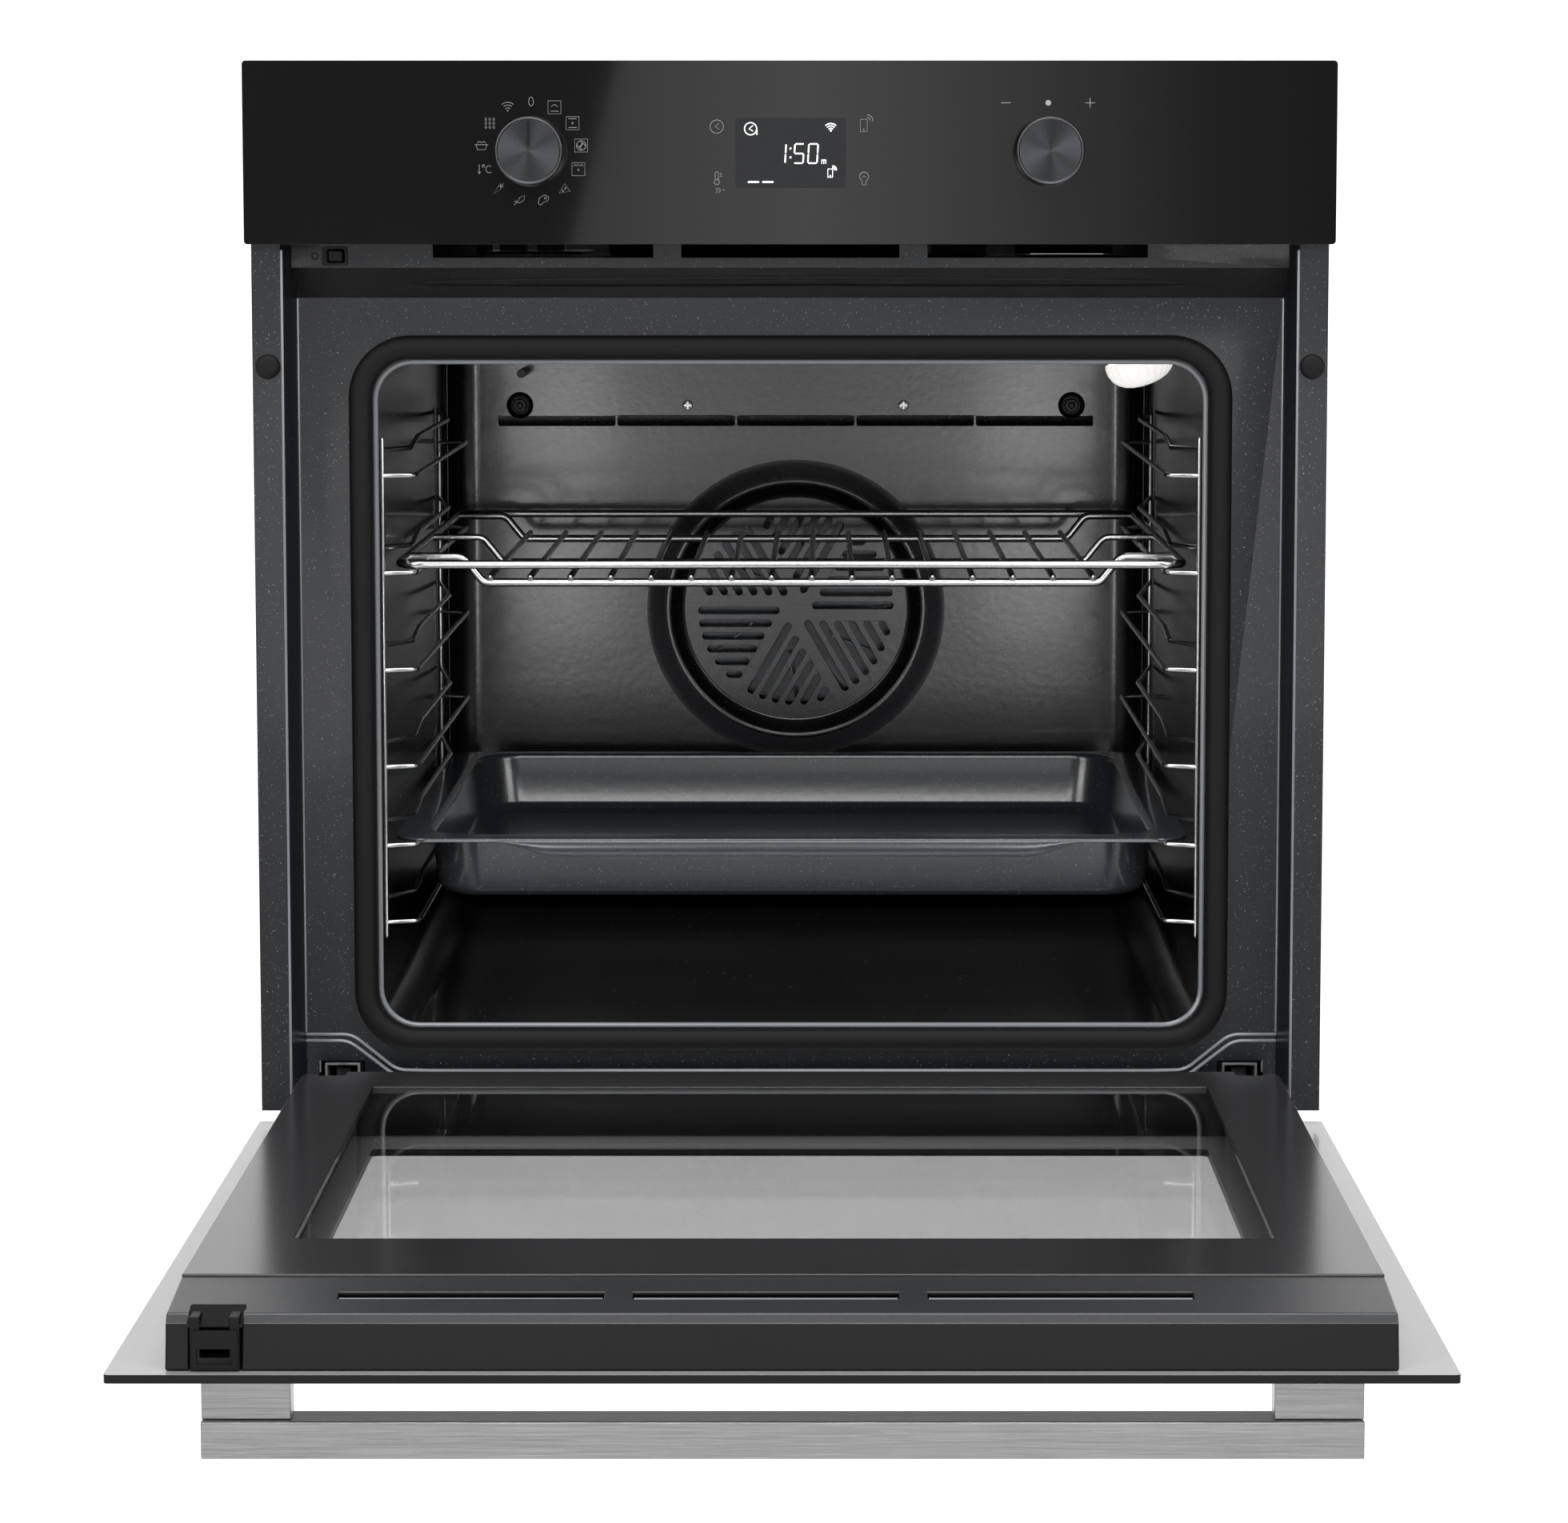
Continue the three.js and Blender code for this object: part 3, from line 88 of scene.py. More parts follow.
# ---- Shapes ------------------------------------------------------------------------------------
def rounded(x0, x1, y0, y1, radius, steps=8):
    """Rectangle with round corners, as pairs, anticlockwise."""
    corners = [(x1 - radius, y0 + radius, -90), (x1 - radius, y1 - radius, 0),
               (x0 + radius, y1 - radius, 90), (x0 + radius, y0 + radius, 180)]
    loop = []
    for cx, cy, start in corners:
        for i in range(steps + 1):
            turn = math.radians(start + 90 * i / steps)
            loop.append((cx + radius * math.cos(turn), cy + radius * math.sin(turn)))
    return loop


def circle(cx, cy, radius, steps=48):
    """Circle as pairs."""
    return [(cx + radius * math.cos(2 * math.pi * i / steps), cy + radius * math.sin(2 * math.pi * i / steps))
            for i in range(steps)]


def arc(cx, cy, radius, start, end, steps=8):
    """Part of a circle as pairs, from one angle in degrees to another."""
    turns = [math.radians(start + (end - start) * i / steps) for i in range(steps + 1)]
    return [(cx + radius * math.cos(t), cy + radius * math.sin(t)) for t in turns]


def bent(points, radius, steps=6, closed=False):
    """Path through the points, each corner turned with that radius."""
    points = [Vector(p) for p in points]
    count = len(points)
    path = []
    for i, here in enumerate(points):
        if not closed and i in (0, count - 1):
            path.append(here)
            continue
        before, after = points[i - 1] - here, points[(i + 1) % count] - here
        angle = before.angle(after)
        if angle > math.radians(178):
            path.append(here)
            continue
        reach = min(radius / math.tan(angle / 2), before.length * 0.48, after.length * 0.48)
        start, end = here + before.normalized() * reach, here + after.normalized() * reach
        for k in range(steps + 1):
            t = k / steps
            path.append(start * (1 - t) ** 2 + here * 2 * t * (1 - t) + end * t ** 2)
    return path


def inside(point, loop):
    """Whether a flat point lies in an outline."""
    hit = False
    for a, b in zip(loop, loop[1:] + loop[:1]):
        if (a.y > point.y) != (b.y > point.y) and point.x < a.x + (b.x - a.x) * (point.y - a.y) / (b.y - a.y):
            hit = not hit
    return hit


class Form:
    """Corners and faces of one piece, in millimetres, gathered from several shapes."""

    def __init__(self):
        self.points, self.faces = [], []

    def add(self, points, faces):
        """Adds a shape."""
        start = len(self.points)
        self.points += [Vector(p) for p in points]
        self.faces += [[i + start for i in face] for face in faces]
        return self

    def loft(self, rings, caps=True, around=False):
        """Skin over closed rings of equally many points; around joins the last ring to the first."""
        size = len(rings[0])
        faces = []
        for r in range(len(rings) if around else len(rings) - 1):
            a, b = r * size, ((r + 1) % len(rings)) * size
            faces += [[a + i, a + (i + 1) % size, b + (i + 1) % size, b + i] for i in range(size)]
        if caps and not around:
            faces += [list(range(size)), list(range((len(rings) - 1) * size, len(rings) * size))]
        return self.add([p for ring in rings for p in ring], faces)

    def tube(self, path, radius, sides=12, closed=False):
        """Round wire along a path, with round ends."""
        path = [Vector(p) for p in path]
        path = [p for i, p in enumerate(path) if i == 0 or (p - path[i - 1]).length > 1e-4]
        count = len(path)
        heads = []
        for i in range(count):
            back = path[i] - path[i - 1] if i or closed else path[1] - path[0]
            on = path[(i + 1) % count] - path[i] if i < count - 1 or closed else path[i] - path[i - 1]
            heads.append((back.normalized() + on.normalized()).normalized())
        side = heads[0].orthogonal().normalized()
        rings = []
        for here, head in zip(path, heads):
            side = (side - head * side.dot(head)).normalized()
            other = head.cross(side)
            rings.append((here, head, side.copy(), other))

        def ring(at, s, o, r):
            return [at + (s * math.cos(a) + o * math.sin(a)) * r
                    for a in (2 * math.pi * k / sides for k in range(sides))]
        loops = [ring(at, s, o, radius) for at, _, s, o in rings]
        if not closed:
            for end, sign in ((rings[0], -1), (rings[-1], 1)):
                at, head, s, o = end
                dome = [ring(at + head * (sign * radius * math.sin(t)), s, o, radius * math.cos(t))
                        for t in (math.radians(a) for a in (35, 65, 85))]
                loops = dome[::-1] + loops if sign < 0 else loops + dome
        return self.loft(loops, caps=not closed, around=closed)

    def lathe(self, profile, centre, axis=(0, 1, 0), sides=64, ring=False):
        """Profile of (radius, height along the axis) pairs turned about the axis."""
        turn = Vector(axis).to_track_quat("Z", "Y")
        loops = [[Vector(centre) + turn @ Vector((r * math.cos(a), r * math.sin(a), h))
                  for a in (2 * math.pi * k / sides for k in range(sides))] for r, h in profile]
        return self.loft(loops, caps=False, around=ring)

    def prism(self, loop, offset):
        """Flat outline pushed along an offset."""
        offset = Vector(offset)
        return self.loft([[Vector(p) for p in loop], [Vector(p) + offset for p in loop]])

    def block(self, low, high):
        """Straight block between two corners."""
        (x0, y0, z0), (x1, y1, z1) = low, high
        return self.prism([(x0, y0, z0), (x1, y0, z0), (x1, y1, z0), (x0, y1, z0)], (0, 0, z1 - z0))

    def sheet(self, outline, holes, low, high, put):
        """Flat sheet with holes between two heights; put turns (a, b, height) into a point."""
        loops = [[Vector(p[:2]) for p in loop] for loop in (outline, *holes)]
        flat, edges = [], []
        for loop in loops:
            start = len(flat)
            flat += loop
            edges += [(start + i, start + (i + 1) % len(loop)) for i in range(len(loop))]
        points, _, found, *_ = delaunay_2d_cdt(flat, edges, [], 1, 1e-5)
        faces = []
        for face in found:
            middle = sum((points[i] for i in face), Vector((0, 0))) / len(face)
            if inside(middle, loops[0]) and not any(inside(middle, hole) for hole in loops[1:]):
                faces.append(face)
        self.add([put(p.x, p.y, high) for p in points], [list(f) for f in faces])
        self.add([put(p.x, p.y, low) for p in points], [list(f)[::-1] for f in faces])
        for loop in loops:
            self.loft([[put(p.x, p.y, h) for p in loop] for h in (low, high)], caps=False)
        return self


def upright(y):
    """Lays a sheet's plan on the upright plane at that depth."""
    return lambda a, b, h: (a, y + h, b)


def level(a, b, h):
    """Lays a sheet's plan on the ground plane."""
    return (a, b, h)


# ---- Materials ---------------------------------------------------------------------------------
class Value:
    """A number that changes over a surface; arithmetic on it adds Math nodes."""

    def __init__(self, finish, socket):
        self.finish, self.socket = finish, socket

    def _math(self, operation, first, second):
        return self.finish.node("ShaderNodeMath", {"operation": operation}, {0: first, 1: second})

    def __add__(self, other):
        return self._math("ADD", self, other)

    def __radd__(self, other):
        return self._math("ADD", other, self)

    def __sub__(self, other):
        return self._math("SUBTRACT", self, other)

    def __rsub__(self, other):
        return self._math("SUBTRACT", other, self)

    def __mul__(self, other):
        return self._math("MULTIPLY", self, other)

    def __rmul__(self, other):
        return self._math("MULTIPLY", other, self)

    def __gt__(self, other):
        return self._math("GREATER_THAN", self, other)


class Finish:
    """One material under construction."""

    def __init__(self, name, constants):
        self.material = bpy.data.materials.new(name)
        self.material.use_nodes = True
        self.tree = self.material.node_tree
        self.shader = next(n for n in self.tree.nodes if n.type == "BSDF_PRINCIPLED")
        self.output = next(n for n in self.tree.nodes if n.type == "OUTPUT_MATERIAL")
        for key, wanted in constants.items():
            self.feed(self.shader.inputs[key], wanted)

    def feed(self, socket, wanted):
        """Links a value or sets a constant."""
        if isinstance(wanted, Value):
            self.tree.links.new(wanted.socket, socket)
        else:
            socket.default_value = wanted

    def set(self, key, wanted):
        """Feeds one of the shader's own sockets."""
        self.feed(self.shader.inputs[key], wanted)

    def node(self, kind, settings=None, inputs=None, output=0):
        """Adds a node: its settings first, then its sockets' values or links."""
        made = self.tree.nodes.new(kind)
        for key, wanted in (settings or {}).items():
            if key == "stops":
                while len(made.color_ramp.elements) < len(wanted):
                    made.color_ramp.elements.new(0.5)
                for element, (place, colour) in zip(made.color_ramp.elements, wanted):
                    element.position, element.color = place, colour
            else:
                setattr(made, key, wanted)
        for key, wanted in (inputs or {}).items():
            self.feed(made.inputs[key], wanted)
        return Value(self, made.outputs[output])

    def place(self, scale=(1, 1, 1)):
        """Object coordinates, stretched."""
        here = self.node("ShaderNodeTexCoord", output="Object")
        return self.node("ShaderNodeVectorMath", {"operation": "MULTIPLY"}, {0: here, 1: scale})

    def noise(self, scale, detail=2.0, stretch=(1, 1, 1), roughness=0.5):
        """Smooth random value over the surface; scale is cells in a metre."""
        return self.node("ShaderNodeTexNoise", {}, {
            "Vector": self.place(stretch), "Scale": scale, "Detail": detail, "Roughness": roughness})

    def cells(self, scale, output=0, stretch=(1, 1, 1)):
        """Cellular pattern."""
        return self.node("ShaderNodeTexVoronoi", {}, {"Vector": self.place(stretch), "Scale": scale}, output)

    def blend(self, factor, first, second):
        """Colour between two colours."""
        return self.node("ShaderNodeMix", {"data_type": "RGBA"}, {0: factor, 6: first, 7: second}, output=2)

    def bump(self, height, depth):
        """Relief on the shader's normal; depth in millimetres."""
        self.set("Normal", self.node("ShaderNodeBump", {}, {
            "Strength": 1.0, "Distance": depth * MM, "Height": height}))


def tone(brightness, tint=(1.0, 1.0, 1.0)):
    """Opaque colour of one brightness with a light tint."""
    return tuple(brightness * part for part in tint) + (1.0,)


def shaded(colour, factor):
    """A colour made lighter or darker."""
    return tuple(part * factor for part in colour[:3]) + (1.0,)


def srgb(code):
    """Linear colour of a web colour."""
    parts = [int(code[i:i + 2], 16) / 255 for i in (1, 3, 5)]
    return tuple(p / 12.92 if p <= 0.04045 else ((p + 0.055) / 1.055) ** 2.4 for p in parts) + (1.0,)


def paint_enamel(name, colour, specks, peel, gloss, shine=0.85, coat=0.25):
    """Fired enamel: fine pale specks and an orange-peel skin."""
    made = Finish(name, {"Coat Weight": coat, "Coat Roughness": 0.08, "Specular IOR Level": shine})
    dots = made.noise(1150, 1.0) > 0.735
    cloud = made.noise(9, 3.0)
    ground = made.blend(cloud, colour, shaded(colour, 1.25))
    made.set("Base Color", made.blend(dots * specks, ground, tone(0.62, (0.86, 0.93, 1.0))))
    made.set("Roughness", gloss + made.noise(300, 3.0) * 0.1)
    made.bump(made.noise(190, 1.0) * 0.8 + made.noise(640, 2.0) * 0.2, peel)
    return made.material


def paint_black_glass(name, colour):
    """Black printed glass."""
    made = Finish(name, {"IOR": 1.5, "Coat Weight": 0.0})
    made.set("Base Color", made.blend(made.noise(6, 2.0), colour, shaded(colour, 1.3)))
    made.set("Roughness", 0.03 + made.noise(35, 3.0) * 0.03)
    return made.material


def paint_printed_border(name, colour):
    """Satin dark print seen through the inner glass."""
    made = Finish(name, {"IOR": 1.7, "Coat Weight": 0.0})
    made.set("Base Color", made.blend(made.noise(30, 3.0), colour, shaded(colour, 1.04)))
    made.set("Roughness", 0.19 + made.noise(70, 3.0) * 0.008)
    return made.material


def paint_clear_glass(name, tint, shine):
    """Thin clear pane: mostly see-through, with a mirror skin that grows at a slant."""
    made = Finish(name, {"Roughness": 0.02})
    through = made.node("ShaderNodeBsdfTransparent", {}, {"Color": tint})
    mirror = made.node("ShaderNodeBsdfAnisotropic", {}, {"Color": tone(0.92), "Roughness": 0.03})
    edge = made.node("ShaderNodeFresnel", {}, {"IOR": shine})
    outward = 1.0 - made.node("ShaderNodeNewGeometry", output="Backfacing")
    smear = made.noise(14, 3.0) * 0.04
    mixed = made.node("ShaderNodeMixShader", {}, {0: (edge + smear) * outward, 1: through, 2: mirror})
    made.feed(made.output.inputs["Surface"], mixed)
    made.tree.nodes.remove(made.shader)
    return made.material


def paint_glass_back(name, colour):
    """Pale back print of the outer glass."""
    made = Finish(name, {"IOR": 1.5, "Coat Weight": 0.5, "Coat Roughness": 0.05})
    made.set("Base Color", made.blend(made.noise(12, 2.0), colour, shaded(colour, 0.93)))
    made.set("Roughness", 0.28 + made.noise(90, 2.0) * 0.06)
    return made.material


def paint_zinc(name):
    """Galvanised sheet with its spangle."""
    made = Finish(name, {"Metallic": 0.85})
    grain = made.cells(95, 1)
    shade = made.node("ShaderNodeRGBToBW", {}, {0: grain})
    made.set("Base Color", made.blend(shade, tone(0.33, (0.97, 1.0, 1.03)), tone(0.5, (0.98, 1.0, 1.02))))
    made.set("Roughness", 0.34 + shade * 0.2)
    made.bump(made.noise(420, 3.0), 0.03)
    return made.material


def paint_brushed(name, colour, along, rough):
    """Metal brushed along one axis."""
    made = Finish(name, {"Metallic": 1.0})
    stretch = tuple(0.012 if axis == along else 1.0 for axis in "xyz")
    grain = made.noise(2600, 3.0, stretch)
    broad = made.noise(700, 3.0, stretch)
    streaks = (grain * 0.6 + broad * 0.4 - 0.3) * 2.0
    made.set("Base Color", made.blend(streaks, shaded(colour, 0.55), colour))
    made.set("Roughness", rough + grain * 0.22)
    made.bump(grain * 0.7 + broad * 0.3, 0.09)
    return made.material


def paint_metal(name, colour, rough, grain=600, depth=0.02, metallic=1.0):
    """Plain metal with a slight mill grain."""
    made = Finish(name, {"Metallic": metallic})
    made.set("Base Color", made.blend(made.noise(60, 3.0), shaded(colour, 0.85), colour))
    made.set("Roughness", rough + made.noise(grain, 2.0) * 0.08)
    made.bump(made.noise(grain, 2.0), depth)
    return made.material


def paint_spun(name, colour):
    """Metal turned on a lathe: fine rings about the part's own axis."""
    made = Finish(name, {"Metallic": 1.0, "Anisotropic": 0.82, "Anisotropic Rotation": 0.0})
    here = made.node("ShaderNodeTexCoord", output="Object")
    flat = made.node("ShaderNodeVectorMath", {"operation": "MULTIPLY"}, {0: here, 1: (1, 1, 0)})
    reach = made.node("ShaderNodeVectorMath", {"operation": "LENGTH"}, {0: flat}, output="Value")
    rings = made.node("ShaderNodeTexNoise", {"noise_dimensions": "1D"}, {
        "W": reach, "Scale": 5200.0, "Detail": 2.0})
    made.set("Base Color", made.blend(rings, shaded(colour, 0.7), colour))
    made.set("Roughness", 0.27 + rings * 0.12)
    return made.material


def paint_plastic(name, colour, rough, grain=900, depth=0.03, shine=0.28):
    """Moulded plastic or rubber with a fine skin."""
    made = Finish(name, {"Specular IOR Level": shine})
    made.set("Base Color", made.blend(made.noise(25, 3.0), colour, shaded(colour, 1.25)))
    made.set("Roughness", rough + made.noise(grain, 2.0) * 0.12)
    made.bump(made.noise(grain, 2.0), depth)
    return made.material


def paint_board(name):
    """Green circuit board with faint tracks."""
    made = Finish(name, {"Coat Weight": 0.3})
    tracks = made.cells(420, 0, (1, 1, 0.4)) > 0.62
    made.set("Base Color", made.blend(tracks * 0.6, srgb("#174a2e"), srgb("#3f8a58")))
    made.set("Roughness", 0.42 + made.noise(200, 2.0) * 0.1)
    return made.material


def paint_wool(name):
    """Mineral wool: matted fibres."""
    made = Finish(name, {})
    fibres = made.noise(420, 6.0, (1, 0.25, 0.25), 0.7)
    made.set("Base Color", made.blend(fibres, srgb("#9b9278"), srgb("#e9e3cf")))
    made.set("Roughness", 0.85 + fibres * 0.1)
    made.bump(fibres, 1.2)
    return made.material


def paint_lamp(name):
    """Frosted lamp cover."""
    made = Finish(name, {"Coat Weight": 0.6, "Emission Strength": 0.85})
    cloud = made.noise(120, 3.0)
    made.set("Base Color", made.blend(cloud, srgb("#ebe8e4"), srgb("#fbfaf8")))
    made.set("Emission Color", made.blend(cloud, srgb("#efeae4"), srgb("#fffdf9")))
    made.set("Roughness", 0.22 + cloud * 0.1)
    return made.material


def paint_print(name, colour, glow):
    """Light printed or lit mark; a faint glow on printed marks is painted light."""
    made = Finish(name, {"Emission Strength": glow, "Roughness": 0.4})
    shade = made.noise(300, 2.0)
    made.set("Base Color", made.blend(shade, shaded(colour, 0.9), colour))
    made.set("Emission Color", made.blend(shade, shaded(colour, 0.92), colour))
    return made.material


def finishes(scene):
    """All materials by name, made once."""
    look = scene.oven_colours
    found = {m.name: m for m in bpy.data.materials if m.name.startswith("oven_")}
    if found:
        return found
    return {m.name: m for m in (
        paint_enamel("oven_enamel", (*look.enamel, 1.0), 0.4, 0.04, 0.28, 0.42, 0.06),
        # darker, duller copy of the frame's enamel, in the cavity's colour, for the brow that faces down over
        # the mouth: painted shade
        paint_enamel("oven_brow_enamel", (*look.cavity, 1.0), 0.1, 0.02, 0.3, 0.2, 0.05),
        # lighter grey copy of the enamel for the fan cover's outer slope: painted sheen
        paint_enamel("oven_ring_enamel", srgb("#3c3d40"), 0.1, 0.05, 0.24),
        paint_enamel("oven_cavity_enamel", (*look.cavity, 1.0), 0.1, 0.1, 0.2),
        paint_enamel("oven_wall_enamel", (*look.cavity, 1.0), 0.25, 0.05, 0.2),
        # lighter enamel for the frame's rolled edges and ribs: painted highlight
        paint_enamel("oven_edge_enamel", srgb("#7d8084"), 0.1, 0.02, 0.2),
        paint_enamel("oven_tray_enamel", (*look.tray, 1.0), 0.5, 0.05, 0.16),
        paint_black_glass("oven_black_glass", (*look.glass, 1.0)),
        paint_plastic("oven_display_glass", srgb("#1d1e20"), 0.3, 500, 0.005),
        paint_printed_border("oven_printed_border", srgb("#2f2f30")),
        paint_clear_glass("oven_clear_glass", tone(0.97), 1.42),
        paint_clear_glass("oven_outer_pane", tone(0.88), 1.36),
        paint_glass_back("oven_glass_back", srgb("#a6a6a7")),
        paint_zinc("oven_zinc"),
        paint_brushed("oven_brushed_steel", (*look.steel, 1.0), "x", 0.24),
        paint_metal("oven_chrome", srgb("#dededf"), 0.17),
        paint_metal("oven_steel", srgb("#b9babc"), 0.25),
        paint_metal("oven_dark_metal", srgb("#3a3a3d"), 0.35),
        paint_metal("oven_aluminium", srgb("#c9ccd0"), 0.24, 260, 0.05),
        paint_metal("oven_fan_metal", srgb("#4b4d50"), 0.22, 260, 0.05),
        paint_metal("oven_duct_metal", srgb("#161718"), 0.6, 300, 0.02, 0.1),
        paint_spun("oven_spun_metal", srgb("#4a4b4e")),
        paint_metal("oven_knob_rim", srgb("#5e5f61"), 0.3),
        paint_plastic("oven_rubber", srgb("#0b0b0c"), 0.55, 700, 0.04),
        paint_plastic("oven_black_plastic", (*look.trim, 1.0), 0.36, 1100, 0.02),
        # lighter, glossier copy of the trim's black for its upward faces: painted sheen
        paint_plastic("oven_trim_paint", srgb("#333436"), 0.24, 1100, 0.01, 0.8),
        paint_plastic("oven_grey_plastic", srgb("#8c8f92"), 0.5),
        paint_board("oven_board"),
        paint_wool("oven_wool"),
        paint_lamp("oven_lamp_white"),
        # grey print with a faint glow: painted light
        paint_print("oven_grey_print", srgb("#a9aaac"), 0.12),
        paint_print("oven_lit_print", srgb("#f4f6f8"), 1.0),
    )}


# ---- Making pieces -----------------------------------------------------------------------------
def settle(piece, body, finish, nodes=(), edge=0.0, angle=35.0, segments=3):
    """Gives a piece its material, soft edges and body, and hides the CAD nodes that it stands for."""
    scene = bpy.context.scene
    scene.collection.objects.link(piece)
    names = [finish] if isinstance(finish, str) else list(finish)
    piece.data.materials.clear()
    for name in names:
        piece.data.materials.append(finishes(scene)[name])
    piece.data.shade_smooth()
    piece.data.set_sharp_from_angle(angle=math.radians(angle))
    if edge > 0:
        soft = piece.modifiers.new("soft_edge", "BEVEL")
        soft.width, soft.segments = edge * MM, segments
        soft.limit_method, soft.angle_limit = "ANGLE", math.radians(angle)
        soft.harden_normals = True
        soft.use_clamp_overlap = True
    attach(piece, body)
    if nodes:
        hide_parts(*nodes)
    return piece


def make(form, name, body, finish, nodes=(), edge=0.0, angle=35.0, segments=3, matrix=None):
    """Turns a form into a piece."""
    mesh = bpy.data.meshes.new(name)
    mesh.from_pydata([p * MM for p in form.points], [], form.faces)
    shape = bmesh.new()
    shape.from_mesh(mesh)
    bmesh.ops.remove_doubles(shape, verts=shape.verts, dist=2e-6)
    bmesh.ops.dissolve_degenerate(shape, edges=shape.edges, dist=1e-6)
    bmesh.ops.recalc_face_normals(shape, faces=shape.faces)
    shape.to_mesh(mesh)
    shape.free()
    piece = bpy.data.objects.new(name, mesh)
    if matrix is not None:
        mesh.transform(matrix.inverted())
        piece.matrix_world = matrix
    return settle(piece, body, finish, nodes, edge, angle, segments)


def soften(node, finish, edge=0.8, angle=30.0, segments=3):
    """Copy of a CAD node's mesh with its flat faces merged and its edges rounded."""
    source = frame["nodes"][node]
    mesh = source.data.copy()
    shape = bmesh.new()
    shape.from_mesh(mesh)
    bmesh.ops.remove_doubles(shape, verts=shape.verts, dist=2e-6)
    bmesh.ops.dissolve_limit(shape, angle_limit=math.radians(0.5), verts=shape.verts, edges=shape.edges)
    shape.to_mesh(mesh)
    shape.free()
    piece = bpy.data.objects.new(node + "_shell", mesh)
    return settle(piece, body_of(source)[0], finish, (node,), edge, angle, segments)


def second_finish(piece, chosen):
    """Gives the chosen faces the piece's second material; lengths are in metres."""
    for face in piece.data.polygons:
        if chosen(face.center, face.normal):
            face.material_index = 1


def extents(node):
    """A CAD node's corners in millimetres."""
    low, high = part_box(node)
    return low / MM, high / MM


# ---- Pieces ------------------------------------------------------------------------------------
def build_casing():
    """Casing panels, rear screws, and a dark plate behind the air outlet as painted shade."""
    for node in ("side_panel_left", "side_panel_right", "top_cover", "rear_cover", "base_plate"):
        soften(node, "oven_zinc", 0.5, segments=2)
    low, high = extents("rear_cover")
    form = Form()
    for x in (low.x + 16, 0, high.x - 16):
        for z in (low.z + 16, high.z - 16):
            form.lathe([(0, -1.7), (2.2, -1.6), (3.4, -0.9), (3.6, 0), (3.6, 0.4)],
                       (x, high.y, z), (0, -1, 0), 24)
    make(form, "rear_screws", "oven", "oven_steel")
    soften("terminal_block", "oven_grey_plastic", 0.8)
    # dark plate round the wiring, standing in for the shade inside the air outlet so that no daylight shows
    # through it: painted shade
    a, b = extents("terminal_block")
    foot, head = 472.5, 563.5
    outlet_shade = Form().block((a.x - 18, a.y - 6, foot - 0.9), (b.x + 18, a.y - 5, head))
    outlet_shade.block((a.x - 14, a.y - 5, foot), (a.x - 13, b.y - 2, head))
    outlet_shade.block((b.x + 13, a.y - 5, foot), (b.x + 14, b.y - 2, head))
    make(outlet_shade, "outlet_shade_plate", "oven", "oven_black_plastic", edge=0.3, segments=1)


def mouth_ring(grow, radius):
    """Outline of the oven's mouth, grown by so much."""
    low, high = extents("door_seal")
    return rounded(low.x + 14 - grow, high.x - 14 + grow, low.z + 14 - grow, high.z - 14 + grow, radius)


def build_front_frame():
    """Enamelled front frame with its ribs, lens, latch socket and bumpers."""
    edge = bpy.context.scene.oven_sizes.frame_edge / MM
    shell = soften("front_frame", ("oven_enamel", "oven_brow_enamel"), edge, 20, 4)
    # faces of the brow that face down and forward take the darker copy of the enamel as painted shade
    second_finish(shell, lambda at, way: 451 < at.z / MM < 469.5 and way.y < -0.3 and way.z < -0.2)
    build_frame_ribs()
    build_brow_lens()
    build_latch_socket()
    build_bumper_caps()


def build_frame_ribs():
    """Rolled lips and pressed ribs of the front frame, in a lighter enamel that paints their highlights."""
    low, _ = extents("front_frame")
    face = low.y + 34
    trims = Form()
    # rolled lip round the mouth
    trims.tube([(x, face + 0.3, z) for x, z in mouth_ring(-0.6, 21.4)], 1.5, 10, closed=True)
    # rolled edges where the flange turns into the recess
    for s in (-1, 1):
        trims.tube([(s * 278.4, low.y + 0.5, 1.5), (s * 278.4, low.y + 0.5, 478)], 0.8, 8)
        trims.tube([(s * 274.2, face - 0.4, 38), (s * 274.2, face - 0.4, 451)], 0.9, 8)
        # pressed double rib in each lower corner
        for gap in (0, 3.6):
            rib = bent([(s * 273.8, face, 36.1 - gap), (s * (248 + gap * 0.6), face, 36.1 - gap),
                        (s * (223 + gap * 0.2), face, 15.8 - gap), (s * 205, face, 15.4 - gap)], 16, 8)
            trims.tube(rib, 0.95, 8)
    for gap in (0, 3.6):
        trims.tube([(-206, face + 0.1, 15.4 - gap), (206, face + 0.1, 15.4 - gap)], 0.95, 8)
    # the lighter enamel stands in for the bright lines that light draws along these edges: painted highlight
    make(trims, "frame_ribs", "oven", "oven_edge_enamel")


def build_brow_lens():
    """Long lens pressed into the slope over the mouth."""
    rings = []
    for i in range(49):
        t = i / 48
        x = -212 + 437 * t
        swell = math.sin(math.pi * t) ** 0.35 if 0 < t < 1 else 0.02
        half, rise = 2.6 * swell, 0.8 * swell
        middle = 459.8 + (1.2 - 2.4 * abs(t - 0.5))
        loop = []
        for k in range(10):
            a = 2 * math.pi * k / 10
            z = middle + half * math.cos(a)
            y = -246.5 - 12 * (z - 451.7) / 16.8
            loop.append((x, y - 0.4 - rise * math.sin(a), z))
        rings.append(loop)
    # the lens takes the brow's darker enamel, painted shade
    make(Form().loft(rings), "brow_emboss", "oven", "oven_brow_enamel", angle=60)


def build_latch_socket():
    """Dark socket and its pin hole beside the latch."""
    socket = Form()
    x, z = -251, 474.9
    socket.sheet(rounded(x - 7.6, x + 6.6, z - 5.2, z + 5.2, 1.2, 4),
                 [rounded(x - 4.9, x + 4.9, z - 3.9, z + 3.9, 0.8, 4)], -0.9, 0.2, upright(-258.7))
    socket.lathe([(2.1, 0.1), (2.1, -0.5), (1.3, -0.5), (1.3, 0.1)], (x - 11.6, -258.6, z), FORWARD, 20,
                 ring=True)
    make(socket, "latch_socket_rim", "oven", "oven_black_plastic", edge=0.2)


